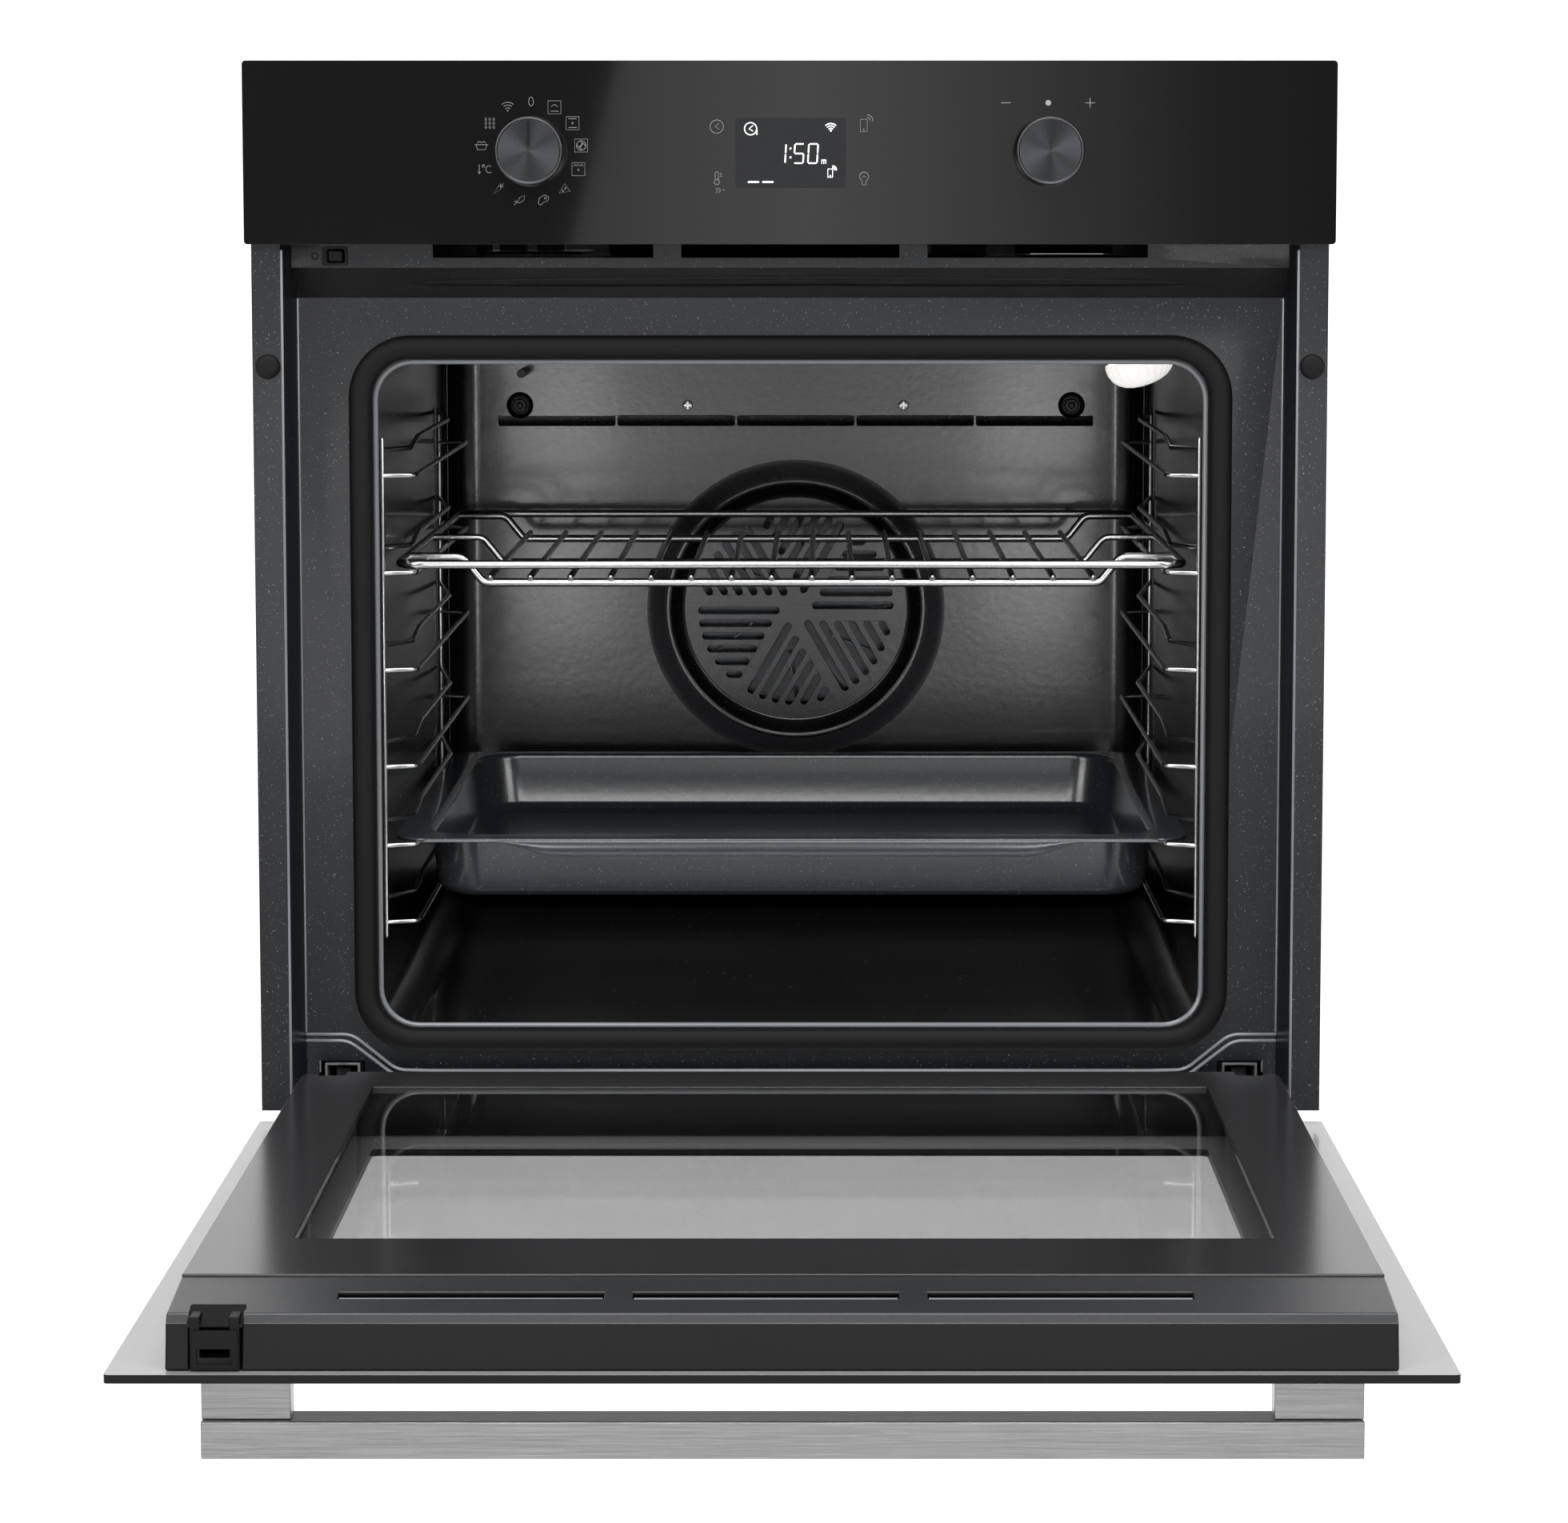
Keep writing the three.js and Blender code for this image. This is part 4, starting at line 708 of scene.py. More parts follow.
def build_bumper_caps():
    """Domed caps of the bumpers."""
    for node in ("frame_bumper_left", "frame_bumper_right"):
        a, b = extents(node)
        centre = (a + b) / 2
        form = Form().lathe([(0, -3.4), (3.6, -3.35), (5.4, -3.0), (6.4, -2.2), (6.8, -1.2), (6.8, 0.0),
                             (2.4, 0.0), (2.4, 4.9), (0, 5)], (centre.x, a.y + 3.4, centre.z), FORWARD, 48)
        make(form, node + "_cap", "oven", "oven_rubber", (node,), angle=50)


def build_cavity():
    """Everything fixed inside the cavity that can be seen."""
    build_liner()
    build_back_wall()
    build_fan_cover()
    build_wall_fixings()
    build_seal()
    build_lamp()
    soften("lamp_holder", "oven_zinc", 0.6)
    soften("temperature_probe", "oven_dark_metal", 0.3)


def build_liner():
    """Cavity with its round corners, open at the front."""
    low, high = extents("cavity_liner")
    x, floor, top = high.x - SHEET, low.z + SHEET, high.z - SHEET
    start, end = low.y, high.y - SHEET
    slope = [(start, 7.0), (start + 2, 6.9), (start + 5, 5.6), (start + 9, 3.0), (start + 14, 0.9),
              (start + 20, 0.0), (start + 120, 0.0), (end - 16, 0.0)]
    rings = [[(a, y, b) for a, b in rounded(-x, x, floor, top - drop, 22)] for y, drop in slope]
    for y, inset in ((end - 8, 2.0), (end - 2.6, 7), (end, 15)):
        rings.append([(a, y, b) for a, b in rounded(-x + inset, x - inset, floor + inset, top - inset, 22)])
    inner = Form().loft(rings[::-1], caps=False)
    back = [(a, end, b) for a, b in rounded(-x + 15, x - 15, floor + 15, top - 15, 22)]
    inner.add(back, [list(range(len(back)))])
    outer = [[(a, y, b) for a, b in rounded(-x - SHEET, x + SHEET, floor - SHEET, top + SHEET, 23)]
             for y in (start, high.y)]
    inner.loft([rings[0], outer[0], outer[1]], caps=False)
    inner.add(outer[1], [list(range(len(outer[1])))])
    make(inner, "cavity_shell", "oven", "oven_wall_enamel", ("cavity_liner",), angle=40)


def fixing_height():
    """Height of the back wall's screws and studs."""
    return extents("back_baffle")[1].z - 30.8


def build_back_wall():
    """Back wall, curled forward at both sides, with its openings."""
    low, high = extents("back_baffle")
    y, bend = BAFFLE_BACK, 21
    flat = high.x - bend
    screw_z = fixing_height()
    span = (flat - 11) / 2.5
    holes = [circle(0, FAN_Z, 99.4, 96)]
    for i in range(-2, 3):
        holes.append(rounded(i * span - span / 2 + 1, i * span + span / 2 - 1, screw_z - 13.4, screw_z - 7,
                             1.2, 3))
    for s in (-1, 1):
        holes.append(circle(s * 72, screw_z, 2.5, 20))
        holes.append(circle(s * 184, screw_z, 8.4, 40))
    wall = Form().sheet([(-flat, low.z), (flat, low.z), (flat, high.z), (-flat, high.z)], holes, -SHEET, 0,
                        upright(y))
    for s in (-1, 1):
        curl, back_side = (
            [(s * (flat + r * math.sin(t)), y - bend + r * math.cos(t)) for t in
             (math.radians(a) for a in range(0, 91, 6))] for r in (bend, bend - SHEET))
        loop = curl + back_side[::-1]
        wall.loft([[(a, b, z) for a, b in loop] for z in (low.z, high.z)])
    make(wall, "back_wall", "oven", "oven_cavity_enamel", ("back_baffle",), edge=0.5, angle=45, segments=2)


def build_fan_cover():
    """Dished ring and slotted plate over the fan."""
    y = BAFFLE_BACK
    ring = Form()
    dish = [(99.8, -1.2), (97.6, -1.4), (95.4, -2.3), (91, -4.2), (88.6, -5.6), (87, -6.3), (85.4, -6.5),
            (83.8, -6.2), (82.6, -5.4), (81.2, -3.9), (78, -1.4), (76, 0.0), (74.6, 0.5), (73.9, 0.5),
            (73.9, 1.3), (76.6, 0.9), (79, -0.4), (82.4, -3.0), (84, -4.4), (86, -5.0), (88.4, -4.2),
            (95.8, -1.2),
            (98.4, -0.2), (99.8, 0.0)]
    ring.lathe(dish, (0, y, FAN_Z), FORWARD, 128, ring=True)
    ring = make(ring, "fan_cover_ring", "oven", ("oven_wall_enamel", "oven_ring_enamel"), angle=50)
    # the ring's outer slope, facing forward, takes the lighter enamel as painted sheen
    second_finish(ring, lambda at, way: math.hypot(at.x, at.z - FAN_Z * MM) > 86.5 * MM and way.y < 0)

    bars = [(-65.3, -11.1), (-64.7, -16.3), (-62.6, -21.3), (-59.2, -26.2), (-54.0, -31.3), (-46.5, -36.2)]
    slots = []
    for group in range(6):
        turn = math.pi / 3 * group
        for row, (x0, x1) in enumerate(bars):
            z = -1.7 - row * 8.6
            slots.append([(a * math.cos(turn) - b * math.sin(turn),
                           FAN_Z + a * math.sin(turn) + b * math.cos(turn))
                          for a, b in rounded(x0, x1, z - 2.3, z + 2.3, 2.29, 5)])
    plate = Form().sheet(circle(0, FAN_Z, 74.6, 128), slots, 0.1, 1.3, upright(y - 0.6))
    make(plate, "fan_cover_plate", "oven", "oven_cavity_enamel", edge=0.35, angle=50, segments=2)


def build_wall_fixings():
    """Studs, their bezels, and the cross-headed screws of the back wall."""
    y, screw_z = BAFFLE_BACK, fixing_height()
    studs, bezels = Form(), Form()
    for s in (-1, 1):
        bezels.lathe([(8.6, 0.2), (8.9, -0.9), (8.0, -1.5), (6.9, -0.9), (6.4, 1.2), (6.4, 4), (0, 4)],
                     (s * 184, y - 1.0, screw_z), FORWARD, 40)
        nut = [(s * 184 + 4.3 * math.cos(t), y - 2.8, screw_z + 4.3 * math.sin(t)) for t in
               (math.radians(60 * k + 12) for k in range(6))]
        studs.prism(nut, (0, 5, 0))
        studs.lathe([(0, -4.6), (1.8, -4.4), (2.4, -3.6), (2.4, 0)], (s * 184, y, screw_z), FORWARD, 20)
    make(bezels, "baffle_stud_bezels", "oven", "oven_black_plastic", angle=50)
    make(studs, "baffle_studs", "oven", "oven_dark_metal", edge=0.3)
    for node in ("baffle_screw_left", "baffle_screw_right"):
        a, b = extents(node)
        centre = (a + b) / 2
        face = a.y
        head = Form().lathe([(1.5, 0.9), (2.0, 0.25), (3.0, 0.5), (3.5, 1.2), (3.5, 2.0), (1.5, 2.0)],
                            (centre.x, face, centre.z), FORWARD, 32)
        head.lathe([(0, 1.3), (1.6, 1.1)], (centre.x, face, centre.z), FORWARD, 32)
        for w, h in ((2.7, 0.5), (0.5, 2.7)):
            head.block((centre.x - w, face + 0.15, centre.z - h), (centre.x + w, face + 1.2, centre.z + h))
        make(head, node + "_head", "oven", "oven_chrome", (node,), edge=0.12)


def build_seal():
    """Rubber seal round the mouth."""
    low, high = extents("door_seal")
    section = [(0.2, high.y), (0.0, high.y - 2.6), (0.8, high.y - 4.8), (2.8, high.y - 6.2),
               (5.2, low.y + 0.1),
               (8.0, low.y), (10.6, high.y - 6.0), (12.4, high.y - 4.4), (13.0, high.y - 2.0), (12.9, high.y)]
    rings = [[(a, y_, b) for a, b in rounded(low.x + 13 - out, high.x - 13 + out, low.z + 13 - out,
                                             high.z - 13 + out, 22 + out * 0.95, 12)] for out, y_ in section]
    make(Form().loft(rings, around=True), "mouth_seal", "oven", "oven_rubber", ("door_seal",), angle=60)


def build_lamp():
    """Fluted dome of the lamp, cut off where it meets the cavity's wall and ceiling."""
    dome = Form()
    flutes = 24
    seat = Vector((202, -137.5, 415.8))
    wall, ceiling = 231.4, 423.3
    profile = [(19.6, 0.0), (20.2, 2.0), (20, 6), (18.6, 10), (16, 13.2), (12.6, 15.6), (9, 17), (4.5, 17.8),
               (0.01, 18)]
    turn = Vector((0.35, 0, -1)).to_track_quat("Z", "Y")
    rings = []
    for r, h in profile:
        loop = []
        for k in range(flutes * 4):
            a = 2 * math.pi * k / (flutes * 4)
            grow = 1 + 0.022 * math.cos(flutes * a) * (r > 9)
            loop.append(seat + turn @ Vector((r * grow * math.cos(a), r * grow * math.sin(a), h)))
        rings.append(loop)
    dome.loft(rings, caps=False)
    for p in dome.points:
        p.x, p.z = min(p.x, wall), min(p.z, ceiling)
    make(dome, "lamp_dome", "oven", "oven_lamp_white", ("lamp_glass",), angle=60)


def wire_piece(name, body, finish, nodes, strokes, sides=12):
    """One piece of round wires, each given as its path, radius and whether it closes."""
    form = Form()
    for path, radius, closed in strokes:
        form.tube(path, radius, sides, closed)
    return make(form, name, body, finish, nodes, angle=70)


def build_heating():
    """Heating elements, the hot-air fan and its motor."""
    build_elements()
    build_fan()
    soften("fan_motor", "oven_zinc", 0.8)


def build_elements():
    """Grill, ring and base elements."""
    grill_z, fan_z, back_end, rod = 419.3, FAN_Z, 238.5, 3.25
    y0, y1, wide = -185.5, 130.5, 150.0
    lane = wide / 5
    route = [(-40, back_end, grill_z), (-40, y1, grill_z), (-wide, y1, grill_z), (-wide, y0, grill_z),
             (-3 * lane, y0, grill_z), (-3 * lane, y1 - 50, grill_z), (-lane, y1 - 50, grill_z),
             (-lane, y0, grill_z), (lane, y0, grill_z), (lane, y1 - 50, grill_z),
             (3 * lane, y1 - 50, grill_z), (3 * lane, y0, grill_z),
             (wide, y0, grill_z), (wide, y1, grill_z), (40, y1, grill_z), (40, back_end, grill_z)]
    wire_piece("grill_element", "oven", "oven_dark_metal", ("grill_heater",),
               [(bent(route, 18, 6), rod, False)])
    y, r, drop = 210.5, 96.0, 88.0
    start, sweep = math.atan2(-drop, -40), 2 * math.pi - 2 * math.atan2(40, drop)
    ring = [(-40, back_end, fan_z - drop), (-40, y + 6, fan_z - drop)]
    ring += [(r * math.cos(start - sweep * i / 61), y, fan_z + r * math.sin(start - sweep * i / 61))
             for i in range(1, 61)]
    ring += [(40, y + 6, fan_z - drop), (40, back_end, fan_z - drop)]
    wire_piece("ring_element", "oven", "oven_dark_metal", ("ring_heater",), [(ring, rod, False)])
    z, wide, near, far = 33.6, 170.0, -180.5, 60.5
    base = [(-60, 227.5, z), (-60, far, z), (-wide, far, z), (-wide, near, z), (wide, near, z),
            (wide, far, z),
            (60, far, z), (60, 227.5, z)]
    wire_piece("base_element", "oven", "oven_dark_metal", ("lower_heater",),
               [(bent(base, 30, 8), rod, False)])


def build_fan():
    """Hot-air fan: dished disc, pressed blades, hub and nut."""
    fan = Form()
    fan_z, disc_y, hub_y = FAN_Z, 212.5, 200.5
    fan.lathe([(4, 13.2), (30, 13.2), (60, 12.9), (66, 12.4), (66, 11.6), (60, 11.9), (30, 12), (11, 12),
               (11, 2.2),
               (9.6, 0.6), (6, 0.4), (5.4, 0.4), (5.4, -2.4), (0.01, -2.4)], (0, hub_y, fan_z), FORWARD, 96)
    fan.lathe([(0.01, 60), (4, 60), (4, 13)], (0, hub_y, fan_z), FORWARD, 24)
    for i in range(12):
        turn = Matrix.Rotation(i * math.pi / 6, 4, "Y")
        loops = []
        for k in range(7):
            t = k / 6
            out = 31 + 34 * t
            lean = 6.5 * math.sin(0.9 * t) - 5
            depth = 6.0 + 0.5 * math.sin(math.pi * t)
            loops.append([turn @ Vector((out, disc_y - depth * a, lean + 0.6 * b)) + Vector((0, 0, fan_z))
                          for a, b in ((0.02, -1), (2.0, -1), (2.0, 1), (0.02, 1))])
        fan.loft(loops)
    make(fan, "fan_wheel", "fan", "oven_fan_metal", ("convection_fan",), edge=0.2, angle=40, segments=2)


def build_airway():
    """Cooling blower and its duct, the compartment's floor, and the insulation."""
    soften("cooling_blower", "oven_zinc", 0.2, segments=1)
    soften("blower_motor", "oven_dark_metal", 0.8)
    soften("cooling_duct", "oven_duct_metal", 0.3, segments=2)
    soften("compartment_floor", "oven_duct_metal", 0.3, segments=1)
    soften("insulation_blanket", "oven_wool", 2.0)


def seg_digit(form, x, z, width, height, bars, y, radius):
    """Lit seven-bar digit."""
    half = height / 2
    ends = {"a": ((0, height), (width, height)), "b": ((width, height), (width, half)),
            "c": ((width, half), (width, 0)), "d": ((0, 0), (width, 0)), "e": ((0, 0), (0, half)),
            "f": ((0, half), (0, height)),
            "g": ((0, half), (width, half))}
    for key in bars:
        (a, b), (c, d) = ends[key]
        dx, dz = (c - a) * 0.12, (d - b) * 0.12
        lean = 0.06
        form.tube([(x + a + dx + lean * (b + dz), y, z + b + dz),
                   (x + c - dx + lean * (d - dz), y, z + d - dz)],
                  radius, 8)


FRAME_MARK = ("loop", [(-1, -1), (1, -1), (1, 1), (-1, 1)])

ICONS = {
    "off": [("loop", [(0.42 * math.cos(t), 0.8 * math.sin(t)) for t in (math.pi * k / 12 for k in range(24))])],
    "eco_box": [FRAME_MARK, ("line", [(-0.6, -0.6), (0.6, -0.6)]),
                ("line", [(-0.5, 0.1), (0, 0.45), (0.5, 0.1)])],
    "two_heats": [FRAME_MARK, ("line", [(-0.6, 0.68), (0.6, 0.68)]),
                  ("line", [(-0.6, -0.68), (0.6, -0.68)]), ("loop", circle(0, 0, 0.12, 8))],
    "fan_box": [FRAME_MARK, ("loop", circle(0, 0, 0.74, 20)),
                ("line", arc(0.27, 0, 0.3, 180, -20)), ("line", arc(-0.27, 0, 0.3, 0, -200)),
                ("line", arc(0, 0.3, 0.25, -80, 120)), ("line", arc(0, -0.3, 0.25, 100, 300))],
    "grill_box": [FRAME_MARK,
                  ("line", [(-0.75, 0.5), (-0.5, 0.75), (-0.25, 0.5), (0, 0.75), (0.25, 0.5), (0.5, 0.75),
                            (0.75, 0.5)]),
                  ("loop", circle(0, -0.1, 0.12, 8))],
    "pizza": [("loop", [(-1, -0.75), (0.95, -0.45), (-0.05, 0.95)]), ("loop", circle(0.1, 0.1, 0.14, 8)),
              ("loop", circle(-0.35, -0.35, 0.14, 8))],
    "meat": [("loop", bent([(-1, -0.7, 0), (-0.8, 0.3, 0), (0.1, 0.95, 0), (1, 0.6, 0), (0.75, -0.2, 0),
                            (0.0, -0.35, 0), (-0.5, -0.95, 0)], 0.5, 3, True)), ("loop",
                                                                                 circle(0.35, 0.35, 0.2,
                                                                                        10))],
    "fish": [("line", [(-1, -0.9), (-0.5, -0.45), (-0.75, 0.0), (-0.3, -0.35), (0.0, 0.45), (0.9, 0.8),
                       (0.75, -0.05), (0.0, -0.55), (-0.45, -0.45), (-1.0, -0.3)])],
    "carrot": [("loop", [(-0.95, -0.95), (0.1, 0.6), (0.62, 0.1)]), ("line", [(0.35, 0.35), (0.9, 0.95)]),
               ("line", [(0.35, 0.35), (0.95, 0.45)]), ("line", [(0.35, 0.35), (0.4, 0.98)])],
    "degrees": [("line", [(-0.95, 0.8), (-0.95, -0.8)]),
                ("line", [(-1.2, -0.45), (-0.95, -0.8), (-0.7, -0.45)]),
                ("loop", circle(-0.2, 0.6, 0.22, 10)), ("line", arc(0.85, 0, 0.62, 55, 305, 14))],
    "tub": [("line", [(-1.2, 0.15), (1.2, 0.15)]),
            ("line", [(-0.95, 0.1), (-0.75, -0.75), (0.75, -0.75), (0.95, 0.1)]),
            ("line", [(-0.75, 0.5), (-0.4, 0.75), (0, 0.5), (0.4, 0.75), (0.75, 0.5)])],
    "drops": [("loop", [(x, z + 0.3), (x - 0.19, z - 0.08), (x, z - 0.24), (x + 0.19, z - 0.08)])
              for x in (-0.72, 0, 0.72) for z in (-0.72, 0, 0.72)],
    "wifi": [("line", arc(0, -0.7, 1.6, 50, 130, 10)), ("line", arc(0, -0.7, 1.1, 50, 130, 8)),
             ("line", arc(0, -0.7, 0.6, 50, 130, 6)), ("loop", circle(0, -0.6, 0.1, 8))],
    "clock": [("loop", circle(0, 0, 1.0, 24)), ("line", [(0.35, 0.5), (-0.25, 0.0), (0.35, -0.35)])],
    "heat": [("line", [(-0.25, -0.25), (-0.25, 0.85), (0, 1.05), (0.25, 0.85), (0.25, -0.25)]),
             ("loop", circle(0, -0.65, 0.42, 14)), ("line", [(0.5, 0.7), (0.8, 0.7)]),
             ("line", [(0.5, 0.3), (0.8, 0.3)])],
    "fast": [("line", [(-0.9, 0.6), (-0.3, 0), (-0.9, -0.6)]),
             ("line", [(-0.2, 0.6), (0.4, 0), (-0.2, -0.6)]),
             ("line", [(0.8, 0.1), (1.3, 0.1)])],
    "phone": [("loop", [(-0.7, -1), (0.25, -1), (0.25, 0.65), (-0.7, 0.65)]),
              ("line", arc(0.3, 0.55, 0.35, -10, 95, 5)),
              ("line", arc(0.3, 0.55, 0.7, -10, 95, 6)), ("loop", circle(-0.22, -0.72, 0.08, 6))],
    "bulb": [("line", arc(0, 0.3, 0.68, -55, 235, 16)),
             ("line", [(-0.3, -0.35), (-0.3, -0.95), (0.3, -0.95), (0.3, -0.35)]),
             ("line", [(-0.22, 0.2), (0, 0.4), (0.22, 0.2)])],
}


def draw_icon(form, name, x, z, size, y, radius):
    """Adds a mark, drawn in wires of that radius."""
    for kind, points in ICONS[name]:
        path = [(x + p[0] * size, y, z + p[1] * size) for p in points]
        form.tube(path, radius, 6, closed=kind == "loop")


def build_control_panel():
    """Panel glass, its display and marks, and the electronics behind it."""
    sizes = bpy.context.scene.oven_sizes
    soften("control_panel_glass", "oven_black_glass", sizes.glass_edge / MM, 30, 3)
    low, _ = extents("control_panel_glass")
    y = low.y - 0.02
    # viewing window of the display, a shade lighter than the glass
    window = Form().sheet(rounded(-29.5, 30.5, 512.3, 550.2, 0.6, 3), [], -0.06, 0.0, upright(low.y + 0.02))
    make(window, "display_window", "oven", "oven_display_glass")
    build_display_marks(y)
    build_panel_marks(y)
    soften("panel_carrier", "oven_black_plastic", 0.6, segments=2)
    soften("display_module", "oven_black_plastic", 0.6, segments=2)
    soften("touch_board", "oven_board", 0.2, segments=1)
    soften("power_board", "oven_board", 0.4, segments=1)
    for node in ("program_switch", "setting_switch"):
        soften(node, "oven_grey_plastic", 0.6, segments=2)


def build_display_marks(y):
    """Lit clock and signs of the display."""
    lit = Form()
    seg_digit(lit, -2.6, 525.6, 0, 10.4, "bc", y, 0.42)
    for z in (528.6, 533.4):
        lit.tube([(0.3, y, z), (0.45, y, z + 0.3)], 0.5, 8)
    seg_digit(lit, 2.2, 525.6, 5.0, 10.4, "acdfg", y, 0.42)
    seg_digit(lit, 9.8, 525.6, 5.0, 10.4, "abcdef", y, 0.42)
    for x in (17.4, 18.5, 19.6):
        lit.tube([(x, y, 525.4), (x, y, 527.2)], 0.25, 6)
    lit.tube([(17.4, y, 527.3), (19.6, y, 527.3)], 0.25, 6)
    draw_icon(lit, "clock", -21.3, 544.2, 3.3, y, 0.3)
    lit.tube([(-17.9, y, 541.2), (-17.9, y, 543.6)], 0.35, 6)
    draw_icon(lit, "wifi", 22.3, 544.7, 2.6, y, 0.34)
    draw_icon(lit, "phone", 22.6, 520.7, 2.7, y, 0.32)
    for x in (-22.4, -14.6):
        lit.tube([(x, y, 515.4), (x + 5.3, y, 515.4)], 0.5, 8)
    make(lit, "display_marks", "oven", "oven_lit_print")


def build_panel_marks(y):
    """Printed marks round the knobs and beside the display."""
    marks = Form()
    names = ("off", "eco_box", "two_heats", "fan_box", "grill_box", "pizza", "meat", "fish", "carrot",
             "degrees",
             "tub", "drops", "wifi")
    for i, name in enumerate(names):
        turn = 2 * math.pi * i / 13
        draw_icon(marks, name, -140.5 + 27.3 * math.sin(turn), 531.9 + 27.0 * math.cos(turn),
                  3.0 if "box" not in name and name != "two_heats" else 3.5, y, 0.13)
    beside = (("clock", -39.7, 545.4, 3.6), ("heat", -39.7, 517.6, 3.4), ("fast", -38.4, 510.9, 2.2),
              ("phone", 41.1, 546.7, 4.0), ("bulb", 40.4, 517.3, 3.6))
    for name, x, z, size in beside:
        draw_icon(marks, name, x, z, size, y, 0.13)
    marks.tube([(114.9, y, 558.2), (119.9, y, 558.2)], 0.17, 6)
    marks.tube([(160.6, y, 558.2), (165.6, y, 558.2)], 0.17, 6)
    marks.tube([(163.1, y, 555.7), (163.1, y, 560.7)], 0.17, 6)
    marks.lathe([(0, -0.1), (1.5, -0.1), (1.6, 0.2)], (140.4, y + 0.02, 558.2), FORWARD, 24)
    # the printed marks carry a faint painted glow
    make(marks, "panel_marks", "oven", "oven_grey_print")


def build_knobs():
    """Two spun-metal knobs; only the left one has a pointer."""
    for node, body, pointer in (("program_knob", "program_dial", True),
                                ("setting_knob", "setting_dial", False)):
        low, high = extents(node)
        x, z, tip = (low.x + high.x) / 2, (low.z + high.z) / 2, low.y
        radius, skirt = (high.x - low.x) / 2, tip + 19
        axis = Matrix.Translation(Vector((x, tip, z)) * MM) @ Matrix.Rotation(math.pi / 2, 4, "X")
        knob = Form()
        profile = [(0.01, 0.35), (radius - 2.4, 0.35), (radius - 1.9, 0.0), (radius - 1.3, 0.05),
                   (radius - 0.75, 0.55), (radius - 0.5, 1.4), (radius - 0.2, 10), (radius, 17.6),
                   (radius, 19),
                   (radius - 0.5, 19.4), (radius - 3, 19.4), (radius - 3, 6), (3.0, 6.0), (3.0, 36.0),
                   (0.01, 36.0)]
        knob.lathe(profile, (x, tip, z), FORWARD, 128)
        make(knob, node + "_cap", body, "oven_spun_metal", (node,), angle=25, matrix=axis)
        rim = Form().lathe([(radius - 2.0, 0.12), (radius - 1.75, -0.06), (radius - 1.2, 0.0),
                            (radius - 0.72, 0.4),
                            (radius - 0.66, 0.9), (radius - 1.2, 1.2), (radius - 2.0, 0.9)],
                           (x, tip, z), FORWARD, 128, ring=True)
        make(rim, node + "_rim", body, "oven_knob_rim", angle=60)
        shade = Form().lathe([(radius - 0.4, 0.0), (radius + 0.1, 0.3), (radius + 0.1, 0.7),
                              (radius - 0.4, 0.9)],
                             (x, skirt - 0.6, z), FORWARD, 96, ring=True)
        make(shade, node + "_foot", body, "oven_black_plastic")
        if pointer:
            groove = Form().sheet(rounded(x - 0.75, x + 0.75, z + 2.6, z + radius - 3.0, 0.7, 4), [], 0.1,
                                  0.4,
                                  upright(tip))
            make(groove, node + "_pointer", body, "oven_rubber")


def build_latch():
    """Latch housing and its tongue."""
    soften("latch_housing", "oven_black_plastic", 0.5, segments=2)
    soften("latch_tongue", "oven_black_plastic", 0.5, segments=2)


def build_hinges():
    """Hinge arms, receivers and housings."""
    for side in ("left", "right"):
        soften("hinge_receiver_" + side, "oven_zinc", 0.4, segments=2)
        soften("hinge_arm_" + side, "oven_dark_metal", 0.5, segments=2)
        soften("hinge_housing_" + side, "oven_zinc", 0.3, segments=2)


def build_door_glass():
    """The door's three panes."""
    sizes = bpy.context.scene.oven_sizes
    # outer glass: black print round a clear window, pale back print beside the door's body
    low, high = extents("door_outer_glass")
    window = (-227, 227, -640, -337)
    outer = Form().sheet(rounded(low.x, high.x, low.y, high.y, 2, 4),
                         [rounded(*window, 4, 4)], low.z, high.z, level)
    piece = make(outer, "door_outer_pane", "door", ("oven_black_glass", "oven_glass_back"),
                 ("door_outer_glass",),
                 edge=sizes.glass_edge / MM, segments=3)
    second_finish(piece, lambda at, way: way.z > 0.9)
    clear = Form().sheet(rounded(window[0] + 0.1, window[1] - 0.1, window[2] + 0.1, window[3] - 0.1, 4, 4),
                         [],
                         low.z + 0.1, high.z - 0.1, level)
    make(clear, "door_outer_window", "door", "oven_outer_pane")
    # middle pane
    soften("door_middle_glass", "oven_clear_glass", 0.3, segments=2)
    # inner glass: satin print round a clear window
    low, high = extents("door_inner_glass")
    view = (-228.5, 228.5, -642.5, -320.5)
    notch_y, notch = -291.5, 7.0
    x, far = high.x, high.y
    right = [(x, low.y)] + arc(x - 12, far - 12, 12, 0, 50, 5)
    right += [(254 + notch, notch_y), (254 - notch, notch_y), (254 - notch, far)]
    loop = right + [(-a, b) for a, b in right[::-1]]
    inner = Form().sheet(loop, [rounded(*view, 2, 4)], low.z, high.z, level)
    make(inner, "door_inner_border", "door", "oven_printed_border", ("door_inner_glass",),
         edge=sizes.glass_edge / MM, segments=3)
    pane = Form().sheet(rounded(view[0] + 0.05, view[1] - 0.05, view[2] + 0.05, view[3] - 0.05, 2, 4), [],
                        low.z + 0.1, high.z - 0.1, level)
    make(pane, "door_inner_window", "door", "oven_clear_glass")


